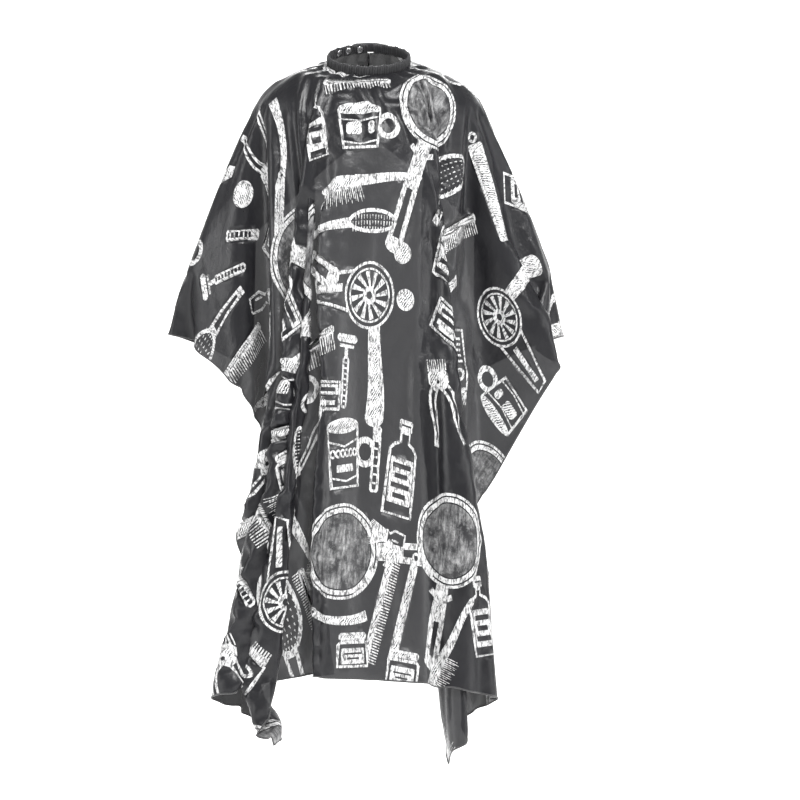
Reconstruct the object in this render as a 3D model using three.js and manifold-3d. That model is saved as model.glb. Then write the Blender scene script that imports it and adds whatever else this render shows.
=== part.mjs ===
// A barber's cutting cape as it hangs from a neck: one printed sheet, gathered onto an elastic neckband that
// closes at the nape with snaps. Millimetres, +Z up, the wearer faces -Y, and the origin is the middle of the
// neckband ring.
import * as THREE from 'three';
import { mergeVertices } from 'three/addons/utils/BufferGeometryUtils.js';
import Module from 'manifold-3d';

const wasm = await Module();
wasm.setup();

const DEGREE = Math.PI / 180;
const BACK = 180 * DEGREE;

// The flat sheet, as it is cut: a rectangle with a round neck hole and a slit to the back edge.
const SHEET_WIDTH = 1340;
const NECK_TO_FRONT_EDGE = 1180;
const NECK_TO_BACK_EDGE = 260;
const NECK_HOLE_RADIUS = 85;
const SHEET_THICKNESS = 3;
const HEM_RADIUS = 1.5;
const SEAM_GAP = 1;

// The neckband: an elliptical ring that leans forward, lower at the throat than at the nape.
const BAND_HALF_WIDTH = 71;
const BAND_HALF_DEPTH = 66;
const BAND_HEIGHT = 17;
const BAND_THICKNESS = 5;
const BAND_WALL = 1;
const BAND_LEAN = 25 * DEGREE;
const FIT_GAP = 0.3;

// The line on which the sheet turns from the shoulders to hang down.
const RIM_HALF_WIDTH = 188;
const RIM_FRONT = 124;
const RIM_BACK = 134;
const RIM_DROP_SIDE = 66;
const RIM_DROP_FRONT = 104;
const RIM_ROUNDING = 46;
const FRONT_LEAN = 4 * DEGREE;
const SIDE_LEAN = 21 * DEGREE;
const BACK_LEAN = 6 * DEGREE;

// The sheet's corners, as directions from the neck on the flat pattern, and where they go round the body.
const FRONT_CORNER = Math.atan2(SHEET_WIDTH / 2, NECK_TO_FRONT_EDGE);
const BACK_CORNER = Math.atan2(SHEET_WIDTH / 2, -NECK_TO_BACK_EDGE);
const FRONT_CORNER_AZIMUTH = 66 * DEGREE;
const BACK_CORNER_AZIMUTH = 112 * DEGREE;
const FLAP_START = 84 * DEGREE;
const SLIT_HALF_ANGLE = 3.6 * DEGREE;
const BINDING_HALF_ANGLE = 1.6 * DEGREE;

// Soft vertical folds, which deepen down the front.
const FRONT_FOLDS = 3;
const FOLD_DEPTH = 9;
const FOLD_RUN = 700;

const FRONT_COLUMNS = 30;
const SIDE_COLUMNS = 14;
const BACK_COLUMNS = 8;
const ROWS = 18;
const ROW_SPREAD = 1.4;
const CORNER_TRIM = 0.14;
const CORNER_ROOM = 18;

// The nape closure. Angles run round the band from the nape, positive towards the wearer's left.
const CASING_START = 6 * DEGREE;
const CASING_END = 358 * DEGREE;
const TAB_ROOT = 22 * DEGREE;
const TAB_RAMP_END = 8 * DEGREE;
const TAB_TIP = -23 * DEGREE;
const TAB_THICKNESS = 3.4;
const TAB_WALL = 0.9;
const STUD_ANGLES = [-14, -32, -50].map((angle) => angle * DEGREE);
const STUD_TAPE_START = -57 * DEGREE;
const STUD_TAPE_END = -4 * DEGREE;
const ELASTIC_START = 8 * DEGREE;
const ELASTIC_END = 300 * DEGREE;

const SNAP_RADIUS = 5.6;
const SNAP_FLANGE = 0.8;
const STUD_BALL_RADIUS = 2;
const STUD_HEIGHT = 2;
const RIVET_RADIUS = 1.4;
const SOCKET_MOUTH_RADIUS = 2.8;
const SOCKET_DEPTH = 2.4;
const CAP_RISE = 1.6;

const fabric = { color: 0x1c1c1f, roughness: 0.45, metalness: 0 };
const binding = { color: 0x0b0b0c, roughness: 0.7, metalness: 0 };
const elastic = { color: 0x161616, roughness: 0.9, metalness: 0 };
const tape = { color: 0x2a2a2c, roughness: 0.85, metalness: 0 };
const steel = { color: 0xb8bac0, roughness: 0.25, metalness: 1 };

const cape = new THREE.Group();
const neckband = new THREE.Group();
neckband.rotation.x = BAND_LEAN;
cape.add(neckband);

function addPiece(parent, name, geometry, finish) {
  const piece = new THREE.Mesh(geometry, new THREE.MeshStandardMaterial(finish));
  piece.name = name;
  parent.add(piece);
  return piece;
}

// ---- the draped sheet ----------------------------------------------------------------------------------

// How far the sheet runs from the middle of the neck hole in a direction on the flat pattern.
function edgeReach(angle) {
  const toSide = SHEET_WIDTH / 2 / Math.max(Math.abs(Math.sin(angle)), 1e-9);
  const towardsFront = Math.cos(angle) > 0;
  const depth = towardsFront ? NECK_TO_FRONT_EDGE : NECK_TO_BACK_EDGE;
  const toEnd = depth / Math.max(Math.abs(Math.cos(angle)), 1e-9);
  return Math.min(toSide, toEnd);
}

// Where a direction on the flat pattern goes round the body: the long front closes round the sides.
function azimuth(angle) {
  const size = Math.abs(angle);
  let turned;
  if (size < FRONT_CORNER) {
    turned = THREE.MathUtils.mapLinear(size, 0, FRONT_CORNER, 0, FRONT_CORNER_AZIMUTH);
  } else if (size < BACK_CORNER) {
    turned = THREE.MathUtils.mapLinear(
      size, FRONT_CORNER, BACK_CORNER, FRONT_CORNER_AZIMUTH, BACK_CORNER_AZIMUTH);
  } else {
    turned = THREE.MathUtils.mapLinear(size, BACK_CORNER, BACK, BACK_CORNER_AZIMUTH, BACK);
  }
  return Math.sign(angle) * turned;
}

// The sheet's own line from the neckband over the shoulder and straight down, at one pattern direction.
function meridian(angle, reach) {
  const lean = new THREE.Euler(BAND_LEAN, 0, 0);
  const belowBand = -BAND_HEIGHT / 2 - SHEET_THICKNESS / 2 - SEAM_GAP;
  const neck = new THREE.Vector3(
    BAND_HALF_WIDTH * Math.sin(angle), -BAND_HALF_DEPTH * Math.cos(angle), belowBand).applyEuler(lean);

  const around = azimuth(angle);
  const side = Math.sin(around) ** 2;
  const front = Math.cos(around) > 0;
  const rim = new THREE.Vector3(
    RIM_HALF_WIDTH * Math.sin(around),
    -(front ? RIM_FRONT : RIM_BACK) * Math.cos(around),
    -THREE.MathUtils.lerp(front ? RIM_DROP_FRONT : RIM_DROP_SIDE, RIM_DROP_SIDE, side));
  const size = Math.abs(angle);
  const onSide = THREE.MathUtils.smoothstep(size, FRONT_CORNER, FLAP_START)
    * (1 - THREE.MathUtils.smoothstep(size, BACK_CORNER, BACK));
  const swing = THREE.MathUtils.lerp(size < BACK_CORNER ? FRONT_LEAN : BACK_LEAN, SIDE_LEAN, onSide);
  const down = new THREE.Vector3(
    Math.sin(swing) * Math.sin(around), -Math.sin(swing) * Math.cos(around), -Math.cos(swing));

  const shoulder = new THREE.QuadraticBezierCurve3(
    neck, rim.clone().addScaledVector(down, -RIM_ROUNDING), rim);
  const drop = Math.max(reach - NECK_HOLE_RADIUS - shoulder.getLength(), 1);
  const line = new THREE.CurvePath();
  line.add(shoulder);
  line.add(new THREE.LineCurve3(rim, rim.clone().addScaledVector(down, drop)));
  return line;
}

// A point of the draped sheet: share is 0 at the neck and 1 at the stated reach.
function drapedPoint(angle, reach, share) {
  const point = meridian(angle, reach).getPointAt(share);
  const fallen = THREE.MathUtils.clamp((share * reach - RIM_HALF_WIDTH) / FOLD_RUN, 0, 1);
  const onFront = THREE.MathUtils.smoothstep(FRONT_CORNER * 1.6 - Math.abs(angle), 0, FRONT_CORNER);
  const wave = Math.cos(FRONT_FOLDS * Math.PI * angle / FRONT_CORNER);
  const around = azimuth(angle);
  const ripple = FOLD_DEPTH * fallen * onFront * wave;
  point.x += ripple * Math.sin(around);
  point.y -= ripple * Math.cos(around);
  return point;
}

// The sheet's edges, as spans of pattern directions with an even number of columns in each.
const SLIT_EDGE = BACK - SLIT_HALF_ANGLE;
const edges = [
  { name: 'hem_back_right', from: -SLIT_EDGE, to: -BACK_CORNER, columns: BACK_COLUMNS },
  { name: 'hem_right', from: -BACK_CORNER, to: -FRONT_CORNER, columns: SIDE_COLUMNS },
  { name: 'hem_front', from: -FRONT_CORNER, to: FRONT_CORNER, columns: FRONT_COLUMNS },
  { name: 'hem_left', from: FRONT_CORNER, to: BACK_CORNER, columns: SIDE_COLUMNS },
  { name: 'hem_back_left', from: BACK_CORNER, to: SLIT_EDGE, columns: BACK_COLUMNS },
];

// A closed sheet: the surface point(column, row) moved out by half its thickness on each side.
function thickSheet(columns, rows, point) {
  const middle = [];
  for (let column = 0; column <= columns; column += 1) {
    for (let row = 0; row <= rows; row += 1) {
      middle.push(point(column, row));
    }
  }
  const at = (column, row) => {
    const heldColumn = THREE.MathUtils.clamp(column, 0, columns);
    const heldRow = THREE.MathUtils.clamp(row, 0, rows);
    return middle[heldColumn * (rows + 1) + heldRow];
  };
  const positions = [];
  for (const side of [1, -1]) {
    for (let column = 0; column <= columns; column += 1) {
      for (let row = 0; row <= rows; row += 1) {
        const across = at(column + 1, row).clone().sub(at(column - 1, row));
        const along = at(column, row + 1).clone().sub(at(column, row - 1));
        const normal = along.cross(across).normalize();
        positions.push(...at(column, row).clone().addScaledVector(normal, side * SHEET_THICKNESS / 2));
      }
    }
  }
  const layer = middle.length;
  const index = (column, row, side) => side * layer + column * (rows + 1) + row;
  const triangles = [];
  const quad = (a, b, c, d) => triangles.push(a, b, c, a, c, d);
  for (let column = 0; column < columns; column += 1) {
    for (let row = 0; row < rows; row += 1) {
      quad(index(column, row, 0), index(column, row + 1, 0), index(column + 1, row + 1, 0), index(column + 1, row, 0));
      quad(index(column, row, 1), index(column + 1, row, 1), index(column + 1, row + 1, 1), index(column, row + 1, 1));
    }
    quad(index(column, 0, 0), index(column + 1, 0, 0), index(column + 1, 0, 1), index(column, 0, 1));
    quad(index(column, rows, 0), index(column, rows, 1), index(column + 1, rows, 1), index(column + 1, rows, 0));
  }
  for (let row = 0; row < rows; row += 1) {
    quad(index(0, row, 0), index(0, row, 1), index(0, row + 1, 1), index(0, row + 1, 0));
    quad(index(columns, row, 0), index(columns, row + 1, 0), index(columns, row + 1, 1), index(columns, row, 1));
  }
  const geometry = new THREE.BufferGeometry();
  geometry.setAttribute('position', new THREE.Float32BufferAttribute(positions, 3));
  geometry.setIndex(triangles);
  return geometry;
}

function capePanel() {
  const directions = [edges[0].from];
  const corners = new Set();
  for (const edge of edges) {
    for (let column = 1; column <= edge.columns; column += 1) {
      directions.push(THREE.MathUtils.lerp(edge.from, edge.to, column / edge.columns));
    }
    corners.add(directions.length - 1);
  }
  const last = directions.length - 1;
  const edgePoint = (column) => {
    const angle = directions[THREE.MathUtils.clamp(column, 0, last)];
    return drapedPoint(angle, edgeReach(angle), 1);
  };
  return thickSheet(last, ROWS, (column, row) => {
    const angle = directions[column];
    const share = (row / ROWS) ** ROW_SPREAD;
    if (row < ROWS) {
      return drapedPoint(angle, edgeReach(angle), share);
    }
    // The last row stops short of the hem, square to it, and further in at the sheet's corners.
    const edge = edgePoint(column);
    const inward = drapedPoint(angle, edgeReach(angle), 0.97).sub(edge);
    if (corners.has(column)) {
      return edge.addScaledVector(inward.normalize(), CORNER_ROOM);
    }
    const alongHem = edgePoint(column + 1).sub(edgePoint(column - 1)).normalize();
    inward.addScaledVector(alongHem, -inward.dot(alongHem));
    return edge.addScaledVector(inward.normalize(), HEM_RADIUS + SEAM_GAP * 2);
  });
}

// A curve whose rings fall exactly on the points that it is given a formula for.
class FormulaCurve extends THREE.Curve {
  constructor(formula) {
    super();
    this.formula = formula;
  }

  getPoint(share) {
    return this.formula(share);
  }

  getPointAt(share) {
    return this.formula(share);
  }

  getTangentAt(share) {
    return this.getTangent(share);
  }
}

function roundSection(radius) {
  return new THREE.Shape().absarc(0, 0, radius, 0, 2 * Math.PI);
}

// A hem follows the sheet's own columns, and stops a little short of the corner at each end.
function hemRoll(edge) {
  const corner = (column) => {
    const angle = THREE.MathUtils.lerp(edge.from, edge.to, column / edge.columns);
    return drapedPoint(angle, edgeReach(angle), 1);
  };
  const path = new FormulaCurve((share) => {
    const column = share * edge.columns;
    const start = Math.min(Math.floor(column), edge.columns - 1);
    let along = column - start;
    if (start === 0) {
      along = THREE.MathUtils.lerp(CORNER_TRIM, 1, along);
    } else if (start === edge.columns - 1) {
      along = THREE.MathUtils.lerp(0, 1 - CORNER_TRIM, along);
    }
    return corner(start).lerp(corner(start + 1), along);
  });
  return new THREE.ExtrudeGeometry(
    roundSection(HEM_RADIUS), { extrudePath: path, steps: edge.columns, curveSegments: 4 });
}

function slitBinding(side) {
  const angle = side * (BACK - BINDING_HALF_ANGLE);
  const reach = NECK_TO_BACK_EDGE;
  const path = new FormulaCurve((share) => drapedPoint(angle, reach, THREE.MathUtils.lerp(0.02, 0.98, share)));
  return new THREE.ExtrudeGeometry(
    roundSection(HEM_RADIUS * 0.8), { extrudePath: path, steps: ROWS, curveSegments: 4 });
}

addPiece(cape, 'cape_panel', capePanel(), fabric);
for (const edge of edges) {
  addPiece(cape, edge.name, hemRoll(edge), binding);
}
addPiece(cape, 'slit_binding_left', slitBinding(1), binding);
addPiece(cape, 'slit_binding_right', slitBinding(-1), binding);

// ---- the neckband --------------------------------------------------------------------------------------

// A point and the outward direction on the band's ellipse, at an angle round from the nape.
function bandOutward(angle) {
  return new THREE.Vector3(BAND_HALF_DEPTH * Math.sin(angle), BAND_HALF_WIDTH * Math.cos(angle), 0).normalize();
}

function bandPoint(angle, outward = 0) {
  const centre = new THREE.Vector3(BAND_HALF_WIDTH * Math.sin(angle), BAND_HALF_DEPTH * Math.cos(angle), 0);
  return centre.addScaledVector(bandOutward(angle), outward);
}

function roundedSection(height, thickness, corner) {
  const x = height / 2;
  const y = thickness / 2;
  const shape = new THREE.Shape();
  shape.moveTo(-x + corner, -y);
  shape.lineTo(x - corner, -y);
  shape.quadraticCurveTo(x, -y, x, -y + corner);
  shape.lineTo(x, y - corner);
  shape.quadraticCurveTo(x, y, x - corner, y);
  shape.lineTo(-x + corner, y);
  shape.quadraticCurveTo(-x, y, -x, y - corner);
  shape.lineTo(-x, -y + corner);
  shape.quadraticCurveTo(-x, -y, -x + corner, -y);
  return shape;
}

// A flat tube of cloth along the band: a rounded section with a channel through it.
function clothTube(height, thickness, wall, path, steps) {
  const section = roundedSection(height, thickness, thickness * 0.35);
  const channel = roundedSection(height - 2 * wall, thickness - 2 * wall, (thickness - 2 * wall) * 0.3);
  section.holes.push(new THREE.Path(channel.getPoints(2)));
  return new THREE.ExtrudeGeometry(section, { extrudePath: path, steps, curveSegments: 2 });
}

function strip(height, thickness, path, steps) {
  return new THREE.ExtrudeGeometry(
    roundedSection(height, thickness, thickness * 0.3), { extrudePath: path, steps, curveSegments: 1 });
}

function bandPath(start, end, outward = () => 0) {
  return new FormulaCurve((share) => {
    const angle = THREE.MathUtils.lerp(start, end, share);
    return bandPoint(angle, outward(angle));
  });
}

const STEP = 5.5 * DEGREE;
function stepsBetween(start, end) {
  return Math.ceil(Math.abs(end - start) / STEP);
}

function toSolid(geometry) {
  const bare = geometry.clone();
  bare.deleteAttribute('normal');
  bare.deleteAttribute('uv');
  const merged = mergeVertices(bare, 1e-4);
  return new wasm.Manifold(new wasm.Mesh({
    numProp: 3,
    vertProperties: merged.attributes.position.array,
    triVerts: new Uint32Array(merged.index.array),
  }));
}

function toGeometry(solid) {
  const mesh = solid.getMesh();
  const geometry = new THREE.BufferGeometry();
  geometry.setAttribute('position', new THREE.BufferAttribute(mesh.vertProperties, 3));
  geometry.setIndex(new THREE.BufferAttribute(mesh.triVerts, 1));
  return geometry;
}

// The rivets of the snaps pass through the cloth and the tape, so each gets a round hole there.
function pierce(geometry, angles) {
  let solid = toSolid(geometry);
  for (const angle of angles) {
    const drill = new THREE.CylinderGeometry(RIVET_RADIUS + FIT_GAP, RIVET_RADIUS + FIT_GAP, 40, 12);
    drill.applyQuaternion(snapTurn(angle));
    drill.translate(...bandPoint(angle, 0));
    solid = solid.subtract(toSolid(drill));
  }
  return toGeometry(solid);
}

function snapTurn(angle) {
  return new THREE.Quaternion().setFromUnitVectors(new THREE.Vector3(0, 1, 0), bandOutward(angle));
}

// A turned snap part, its axis pointing out of the band and its zero at the stated distance out.
function snapPart(name, angle, outward, profile) {
  const points = profile.map(([radius, height]) => new THREE.Vector2(radius, height));
  const piece = addPiece(neckband, name, new THREE.LatheGeometry(points, 20), steel);
  piece.quaternion.copy(snapTurn(angle));
  piece.position.copy(bandPoint(angle, outward));
}

const casing = clothTube(
  BAND_HEIGHT, BAND_THICKNESS, BAND_WALL, bandPath(CASING_START, CASING_END), stepsBetween(CASING_START, CASING_END));
addPiece(neckband, 'neckband_casing', pierce(casing, STUD_ANGLES), fabric);

const channelHeight = BAND_HEIGHT - 2 * BAND_WALL - 2 * FIT_GAP;
const elasticBand = strip(channelHeight - 1, 1.4, bandPath(ELASTIC_START, ELASTIC_END), stepsBetween(ELASTIC_START, ELASTIC_END));
addPiece(neckband, 'neck_elastic', elasticBand, elastic);

const studTape = strip(channelHeight - 1, 1, bandPath(STUD_TAPE_START, STUD_TAPE_END), stepsBetween(STUD_TAPE_START, STUD_TAPE_END));
addPiece(neckband, 'stud_tape', pierce(studTape, STUD_ANGLES), tape);

// The studs stand on the outside of the band, and their rivets come through from the inside.
const bandFace = BAND_THICKNESS / 2;
STUD_ANGLES.forEach((angle, index) => {
  const number = index + 1;
  const flangeTop = SNAP_FLANGE;
  const ballTop = SNAP_FLANGE + STUD_HEIGHT;
  snapPart(`snap_stud_${number}`, angle, bandFace + FIT_GAP, [
    [0, 0.2], [SNAP_RADIUS * 0.9, 0], [SNAP_RADIUS, 0.3], [SNAP_RADIUS * 0.9, flangeTop],
    [STUD_BALL_RADIUS - 0.3, flangeTop], [STUD_BALL_RADIUS, ballTop - 0.7],
    [STUD_BALL_RADIUS - 0.5, ballTop], [0, ballTop],
  ]);
  snapPart(`snap_post_${number}`, angle, -bandFace - FIT_GAP, [
    [0, -0.9], [SNAP_RADIUS * 0.8, -0.8], [SNAP_RADIUS * 0.9, -0.4], [SNAP_RADIUS * 0.85, 0],
    [RIVET_RADIUS, 0], [RIVET_RADIUS, BAND_THICKNESS + FIT_GAP], [0, BAND_THICKNESS + FIT_GAP],
  ]);
});

// The tab is sewn down at its root and steps out over the band's end to clear the snap.
const studTop = bandFace + FIT_GAP + SNAP_FLANGE + STUD_HEIGHT;
const socketFace = bandFace + 2 * FIT_GAP + SNAP_FLANGE;
const tabMiddle = socketFace + SOCKET_DEPTH + FIT_GAP + TAB_THICKNESS / 2;
const tabRootMiddle = bandFace + FIT_GAP + TAB_THICKNESS / 2;
function tabOutward(angle) {
  return THREE.MathUtils.lerp(tabMiddle, tabRootMiddle, THREE.MathUtils.smoothstep(angle, TAB_RAMP_END, TAB_ROOT));
}

const tabSteps = 2 * stepsBetween(TAB_TIP, TAB_ROOT);
const tab = clothTube(BAND_HEIGHT, TAB_THICKNESS, TAB_WALL, bandPath(TAB_TIP, TAB_ROOT, tabOutward), tabSteps);
addPiece(neckband, 'snap_tab', pierce(tab, [STUD_ANGLES[0]]), fabric);

const tabTape = strip(
  BAND_HEIGHT - 2 * TAB_WALL - 2 * FIT_GAP - 1, TAB_THICKNESS - 2 * TAB_WALL - 2 * FIT_GAP,
  bandPath(TAB_TIP + 1 * DEGREE, TAB_ROOT - 1 * DEGREE, tabOutward), tabSteps);
addPiece(neckband, 'tab_tape', pierce(tabTape, [STUD_ANGLES[0]]), tape);

const capBase = tabMiddle + TAB_THICKNESS / 2 + FIT_GAP;
const rivetRun = TAB_THICKNESS + 2 * FIT_GAP;
snapPart('snap_cap', STUD_ANGLES[0], capBase, [
  [0, -rivetRun + FIT_GAP], [RIVET_RADIUS, -rivetRun + FIT_GAP], [RIVET_RADIUS, 0], [SNAP_RADIUS, 0],
  [SNAP_RADIUS + 0.4, 0.4], [SNAP_RADIUS * 0.75, CAP_RISE * 0.8], [0, CAP_RISE],
]);
const socketTop = SOCKET_DEPTH - 0.2;
snapPart('snap_socket', STUD_ANGLES[0], socketFace + 0.1, [
  [SOCKET_MOUTH_RADIUS, 0], [SNAP_RADIUS * 0.8, 0], [SNAP_RADIUS * 0.95, socketTop * 0.5],
  [SNAP_RADIUS * 0.9, socketTop], [STUD_BALL_RADIUS - 0.4, socketTop],
  [SOCKET_MOUTH_RADIUS, socketTop - 0.1], [SOCKET_MOUTH_RADIUS, 0],
]);

export default cape;
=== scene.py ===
import math

import bpy
import numpy as np
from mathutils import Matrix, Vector
from mathutils.bvhtree import BVHTree
from mathutils.geometry import delaunay_2d_cdt


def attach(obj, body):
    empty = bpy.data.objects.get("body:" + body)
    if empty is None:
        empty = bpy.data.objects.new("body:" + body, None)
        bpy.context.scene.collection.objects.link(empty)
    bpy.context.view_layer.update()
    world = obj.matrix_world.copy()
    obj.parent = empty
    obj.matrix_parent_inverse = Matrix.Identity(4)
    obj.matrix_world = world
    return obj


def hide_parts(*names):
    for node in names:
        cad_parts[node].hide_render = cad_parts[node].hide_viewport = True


# A barber's cutting cape on an elastic neckband, hung from a neck. The printed sheet is draped by Blender's
# cloth simulation from its flat cut, over a plain torso that is removed afterwards. Metres, +Z up, the wearer
# faces -Y, and the origin is the middle of the neckband.

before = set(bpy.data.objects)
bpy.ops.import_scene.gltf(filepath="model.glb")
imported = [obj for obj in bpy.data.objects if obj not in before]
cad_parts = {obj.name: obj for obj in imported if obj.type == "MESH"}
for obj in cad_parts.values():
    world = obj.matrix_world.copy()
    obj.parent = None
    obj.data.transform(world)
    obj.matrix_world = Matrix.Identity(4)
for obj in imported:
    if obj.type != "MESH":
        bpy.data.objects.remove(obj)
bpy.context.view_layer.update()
scene = bpy.context.scene

# The flat cut: u runs to the wearer's left, v to the back, and the neck hole is about (0, 0).
HALF_WIDTH = 0.67
TO_FRONT_EDGE = 1.18
TO_BACK_EDGE = 0.26
HOLE_RADIUS = 0.085
SLIT_HALF_WIDTH = 0.0008

# The neckband's ring, which leans down towards the throat.
BAND_HALF_WIDTH = 0.071
BAND_HALF_DEPTH = 0.066
BAND_HEIGHT = 0.017
BAND_THICKNESS = 0.005
BAND_LEAN = math.radians(25)
BAND_AXIS = np.array([0.0, -math.sin(BAND_LEAN), math.cos(BAND_LEAN)])

# ---- camera, lights and backdrop -----------------------------------------------------------------------

CAMERA_DISTANCE = 4.2
VIEW_WIDTH = 1.376
VIEW_CENTRE = (0.055, -0.10, -0.599)
FLOOR_HEIGHT = -1.42
BACKDROP_REACH = 5.2
BACKDROP_HALF_WIDTH = 1.6 * BACKDROP_REACH
WALL_TOP = 7.0
SWEEP = 1.4
SWEEP_STEPS = 8
SENSOR_WIDTH = 36


def add_object(name, data):
    item = bpy.data.objects.new(name, data)
    scene.collection.objects.link(item)
    return item


def add_camera():
    camera = add_object("camera", bpy.data.cameras.new("camera"))
    camera.data.sensor_width = SENSOR_WIDTH
    camera.data.lens = SENSOR_WIDTH * CAMERA_DISTANCE / VIEW_WIDTH
    camera.location = (VIEW_CENTRE[0], VIEW_CENTRE[1] - CAMERA_DISTANCE, VIEW_CENTRE[2])
    camera.rotation_euler = (math.radians(90), 0, 0)
    scene.camera = camera


def add_light(name, place, target, size, power):
    lamp = bpy.data.lights.new(name, "AREA")
    lamp.shape = "RECTANGLE"
    lamp.size, lamp.size_y = size
    lamp.energy = power
    light = add_object(name, lamp)
    light.location = place
    light.rotation_euler = (Vector(target) - Vector(place)).to_track_quat("-Z", "Y").to_euler()


def add_backdrop():
    """A white floor that sweeps up into a wall behind the cape."""
    profile = [(-BACKDROP_REACH, 0.0), (BACKDROP_REACH, 0.0)]
    for k in range(1, SWEEP_STEPS + 1):
        turn = math.radians(90 * k / SWEEP_STEPS)
        profile.append((BACKDROP_REACH + SWEEP * math.sin(turn), SWEEP - SWEEP * math.cos(turn)))
    profile.append((BACKDROP_REACH + SWEEP, WALL_TOP))
    sides = (-BACKDROP_HALF_WIDTH, BACKDROP_HALF_WIDTH)
    points = [(x, y, FLOOR_HEIGHT + z) for y, z in profile for x in sides]
    faces = [(2 * k, 2 * k + 1, 2 * k + 3, 2 * k + 2) for k in range(len(profile) - 1)]
    mesh = bpy.data.meshes.new("backdrop")
    mesh.from_pydata(points, [], faces)
    mesh.polygons.foreach_set("use_smooth", [True] * len(faces))
    paper = bpy.data.materials.new("studio_paper")
    paper.use_nodes = True
    shader = paper.node_tree.nodes["Principled BSDF"]
    shader.inputs["Base Color"].default_value = (0.86, 0.86, 0.86, 1)
    shader.inputs["Roughness"].default_value = 0.9
    shader.inputs["Emission Color"].default_value = (1, 1, 1, 1)
    shader.inputs["Emission Strength"].default_value = 0.8
    mesh.materials.append(paper)
    backdrop = add_object("backdrop", mesh)


def set_up_studio():
    add_camera()
    add_light("key_light", (0.9, -2.6, 2.3), (0, 0, -0.35), (1.0, 1.0), 240)
    add_light("left_light", (-3.2, -1.6, 0.3), (0, 0, -0.5), (0.7, 2.4), 80)
    add_light("right_light", (3.2, -1.2, 0.2), (0, 0, -0.6), (0.5, 2.4), 60)
    add_light("back_light", (0.2, 3.0, 1.8), (0, 0, -0.5), (2.0, 1.4), 60)
    add_backdrop()
    world = scene.world or bpy.data.worlds.new("studio")
    scene.world = world
    world.use_nodes = True
    world.node_tree.nodes["Background"].inputs["Color"].default_value = (1, 1, 1, 1)
    world.node_tree.nodes["Background"].inputs["Strength"].default_value = 0.42
    scene.view_settings.view_transform = "Standard"


set_up_studio()

# ---- the drape -----------------------------------------------------------------------------------------

COARSE_STEP = 0.018
SETTLE_FRAMES = 110
SELF_FRAMES = 20
CONE_START = 0.10
CONE_ANGLE = math.radians(50)
CLOTH_DROP = 0.007

# The torso under the cloth: height, half width, half depth and middle of each level, from the neck down.
TORSO_LEVELS = [
    (0.090, 0.054, 0.056, 0), (0.030, 0.055, 0.057, 0), (0, 0.057, 0.058, 0), (-0.014, 0.084, 0.066, 0.003),
    (-0.030, 0.125, 0.080, 0.006), (-0.046, 0.158, 0.088, 0.010), (-0.060, 0.178, 0.094, 0.012),
    (-0.078, 0.190, 0.102, 0.012), (-0.100, 0.194, 0.110, 0.010), (-0.150, 0.190, 0.118, 0.005),
    (-0.220, 0.178, 0.126, 0), (-0.300, 0.165, 0.124, 0), (-0.450, 0.140, 0.104, 0),
    (-0.600, 0.160, 0.116, 0), (-0.650, 0.140, 0.100, 0), (-0.660, 0.020, 0.020, 0),
]
WAIST_SLIMNESS = 0.3
ARM_START = (0.15, 0.012, -0.09)
ARM_END = (0.29, 0.020, -0.36)
ARM_RADIUS, WRIST_RADIUS = 0.04, 0.02
CLOTH_GAP = 0.004
NECK_LEVEL_REACH = 0.15


def spaced(a, b, step):
    count = max(2, round(math.dist(a, b) / step))
    return [(a[0] + (b[0] - a[0]) * k / count, a[1] + (b[1] - a[1]) * k / count) for k in range(count)]


def cut_outline(step):
    """The cut edge as one closed run: round the rectangle, in along the slit, round the neck hole and out."""
    corners = [
        (SLIT_HALF_WIDTH, TO_BACK_EDGE), (HALF_WIDTH, TO_BACK_EDGE), (HALF_WIDTH, -TO_FRONT_EDGE),
        (-HALF_WIDTH, -TO_FRONT_EDGE), (-HALF_WIDTH, TO_BACK_EDGE), (-SLIT_HALF_WIDTH, TO_BACK_EDGE),
    ]
    run = []
    for a, b in zip(corners, corners[1:]):
        run += spaced(a, b, step)
    run += spaced(corners[-1], (-SLIT_HALF_WIDTH, HOLE_RADIUS), step)
    half_slit = math.asin(SLIT_HALF_WIDTH / HOLE_RADIUS)
    around = int(math.tau * HOLE_RADIUS / (step * 0.6))
    turns = np.linspace(-half_slit, half_slit - math.tau, around)
    run += [(HOLE_RADIUS * math.sin(t), HOLE_RADIUS * math.cos(t)) for t in turns]
    return run + spaced((SLIT_HALF_WIDTH, HOLE_RADIUS), corners[0], step)[1:]


def lattice(step):
    """A triangular grid of points inside the cut, clear of its edges."""
    points = []
    row_gap = step * math.sqrt(3) / 2
    for row in range(int((TO_FRONT_EDGE + TO_BACK_EDGE) / row_gap) + 1):
        v = -TO_FRONT_EDGE + (row + 0.5) * row_gap
        for column in range(int(2 * HALF_WIDTH / step) + 2):
            u = -HALF_WIDTH + (column + 0.5 * (row % 2)) * step
            near_side = abs(u) > HALF_WIDTH - 0.5 * step or v > TO_BACK_EDGE - 0.5 * step
            near_front = v < -TO_FRONT_EDGE + 0.4 * step
            near_hole = math.hypot(u, v) < HOLE_RADIUS + 0.5 * step
            near_slit = v > 0 and abs(u) < 0.45 * step
            if not (near_side or near_front or near_hole or near_slit):
                points.append((u, v))
    return points


def ring_points(turn):
    """Points of the neckband's ring. Turns run from the nape, positive towards the wearer's left."""
    across, along = BAND_HALF_WIDTH * np.sin(turn), BAND_HALF_DEPTH * np.cos(turn)
    return np.stack([across, along * math.cos(BAND_LEAN), along * math.sin(BAND_LEAN)], -1)


def around_neck(flat):
    """The turns of flat points round the neck hole, from the nape, and how far outside it they lie."""
    return np.arctan2(flat[:, 0], flat[:, 1]), np.hypot(flat[:, 0], flat[:, 1]) - HOLE_RADIUS


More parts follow.
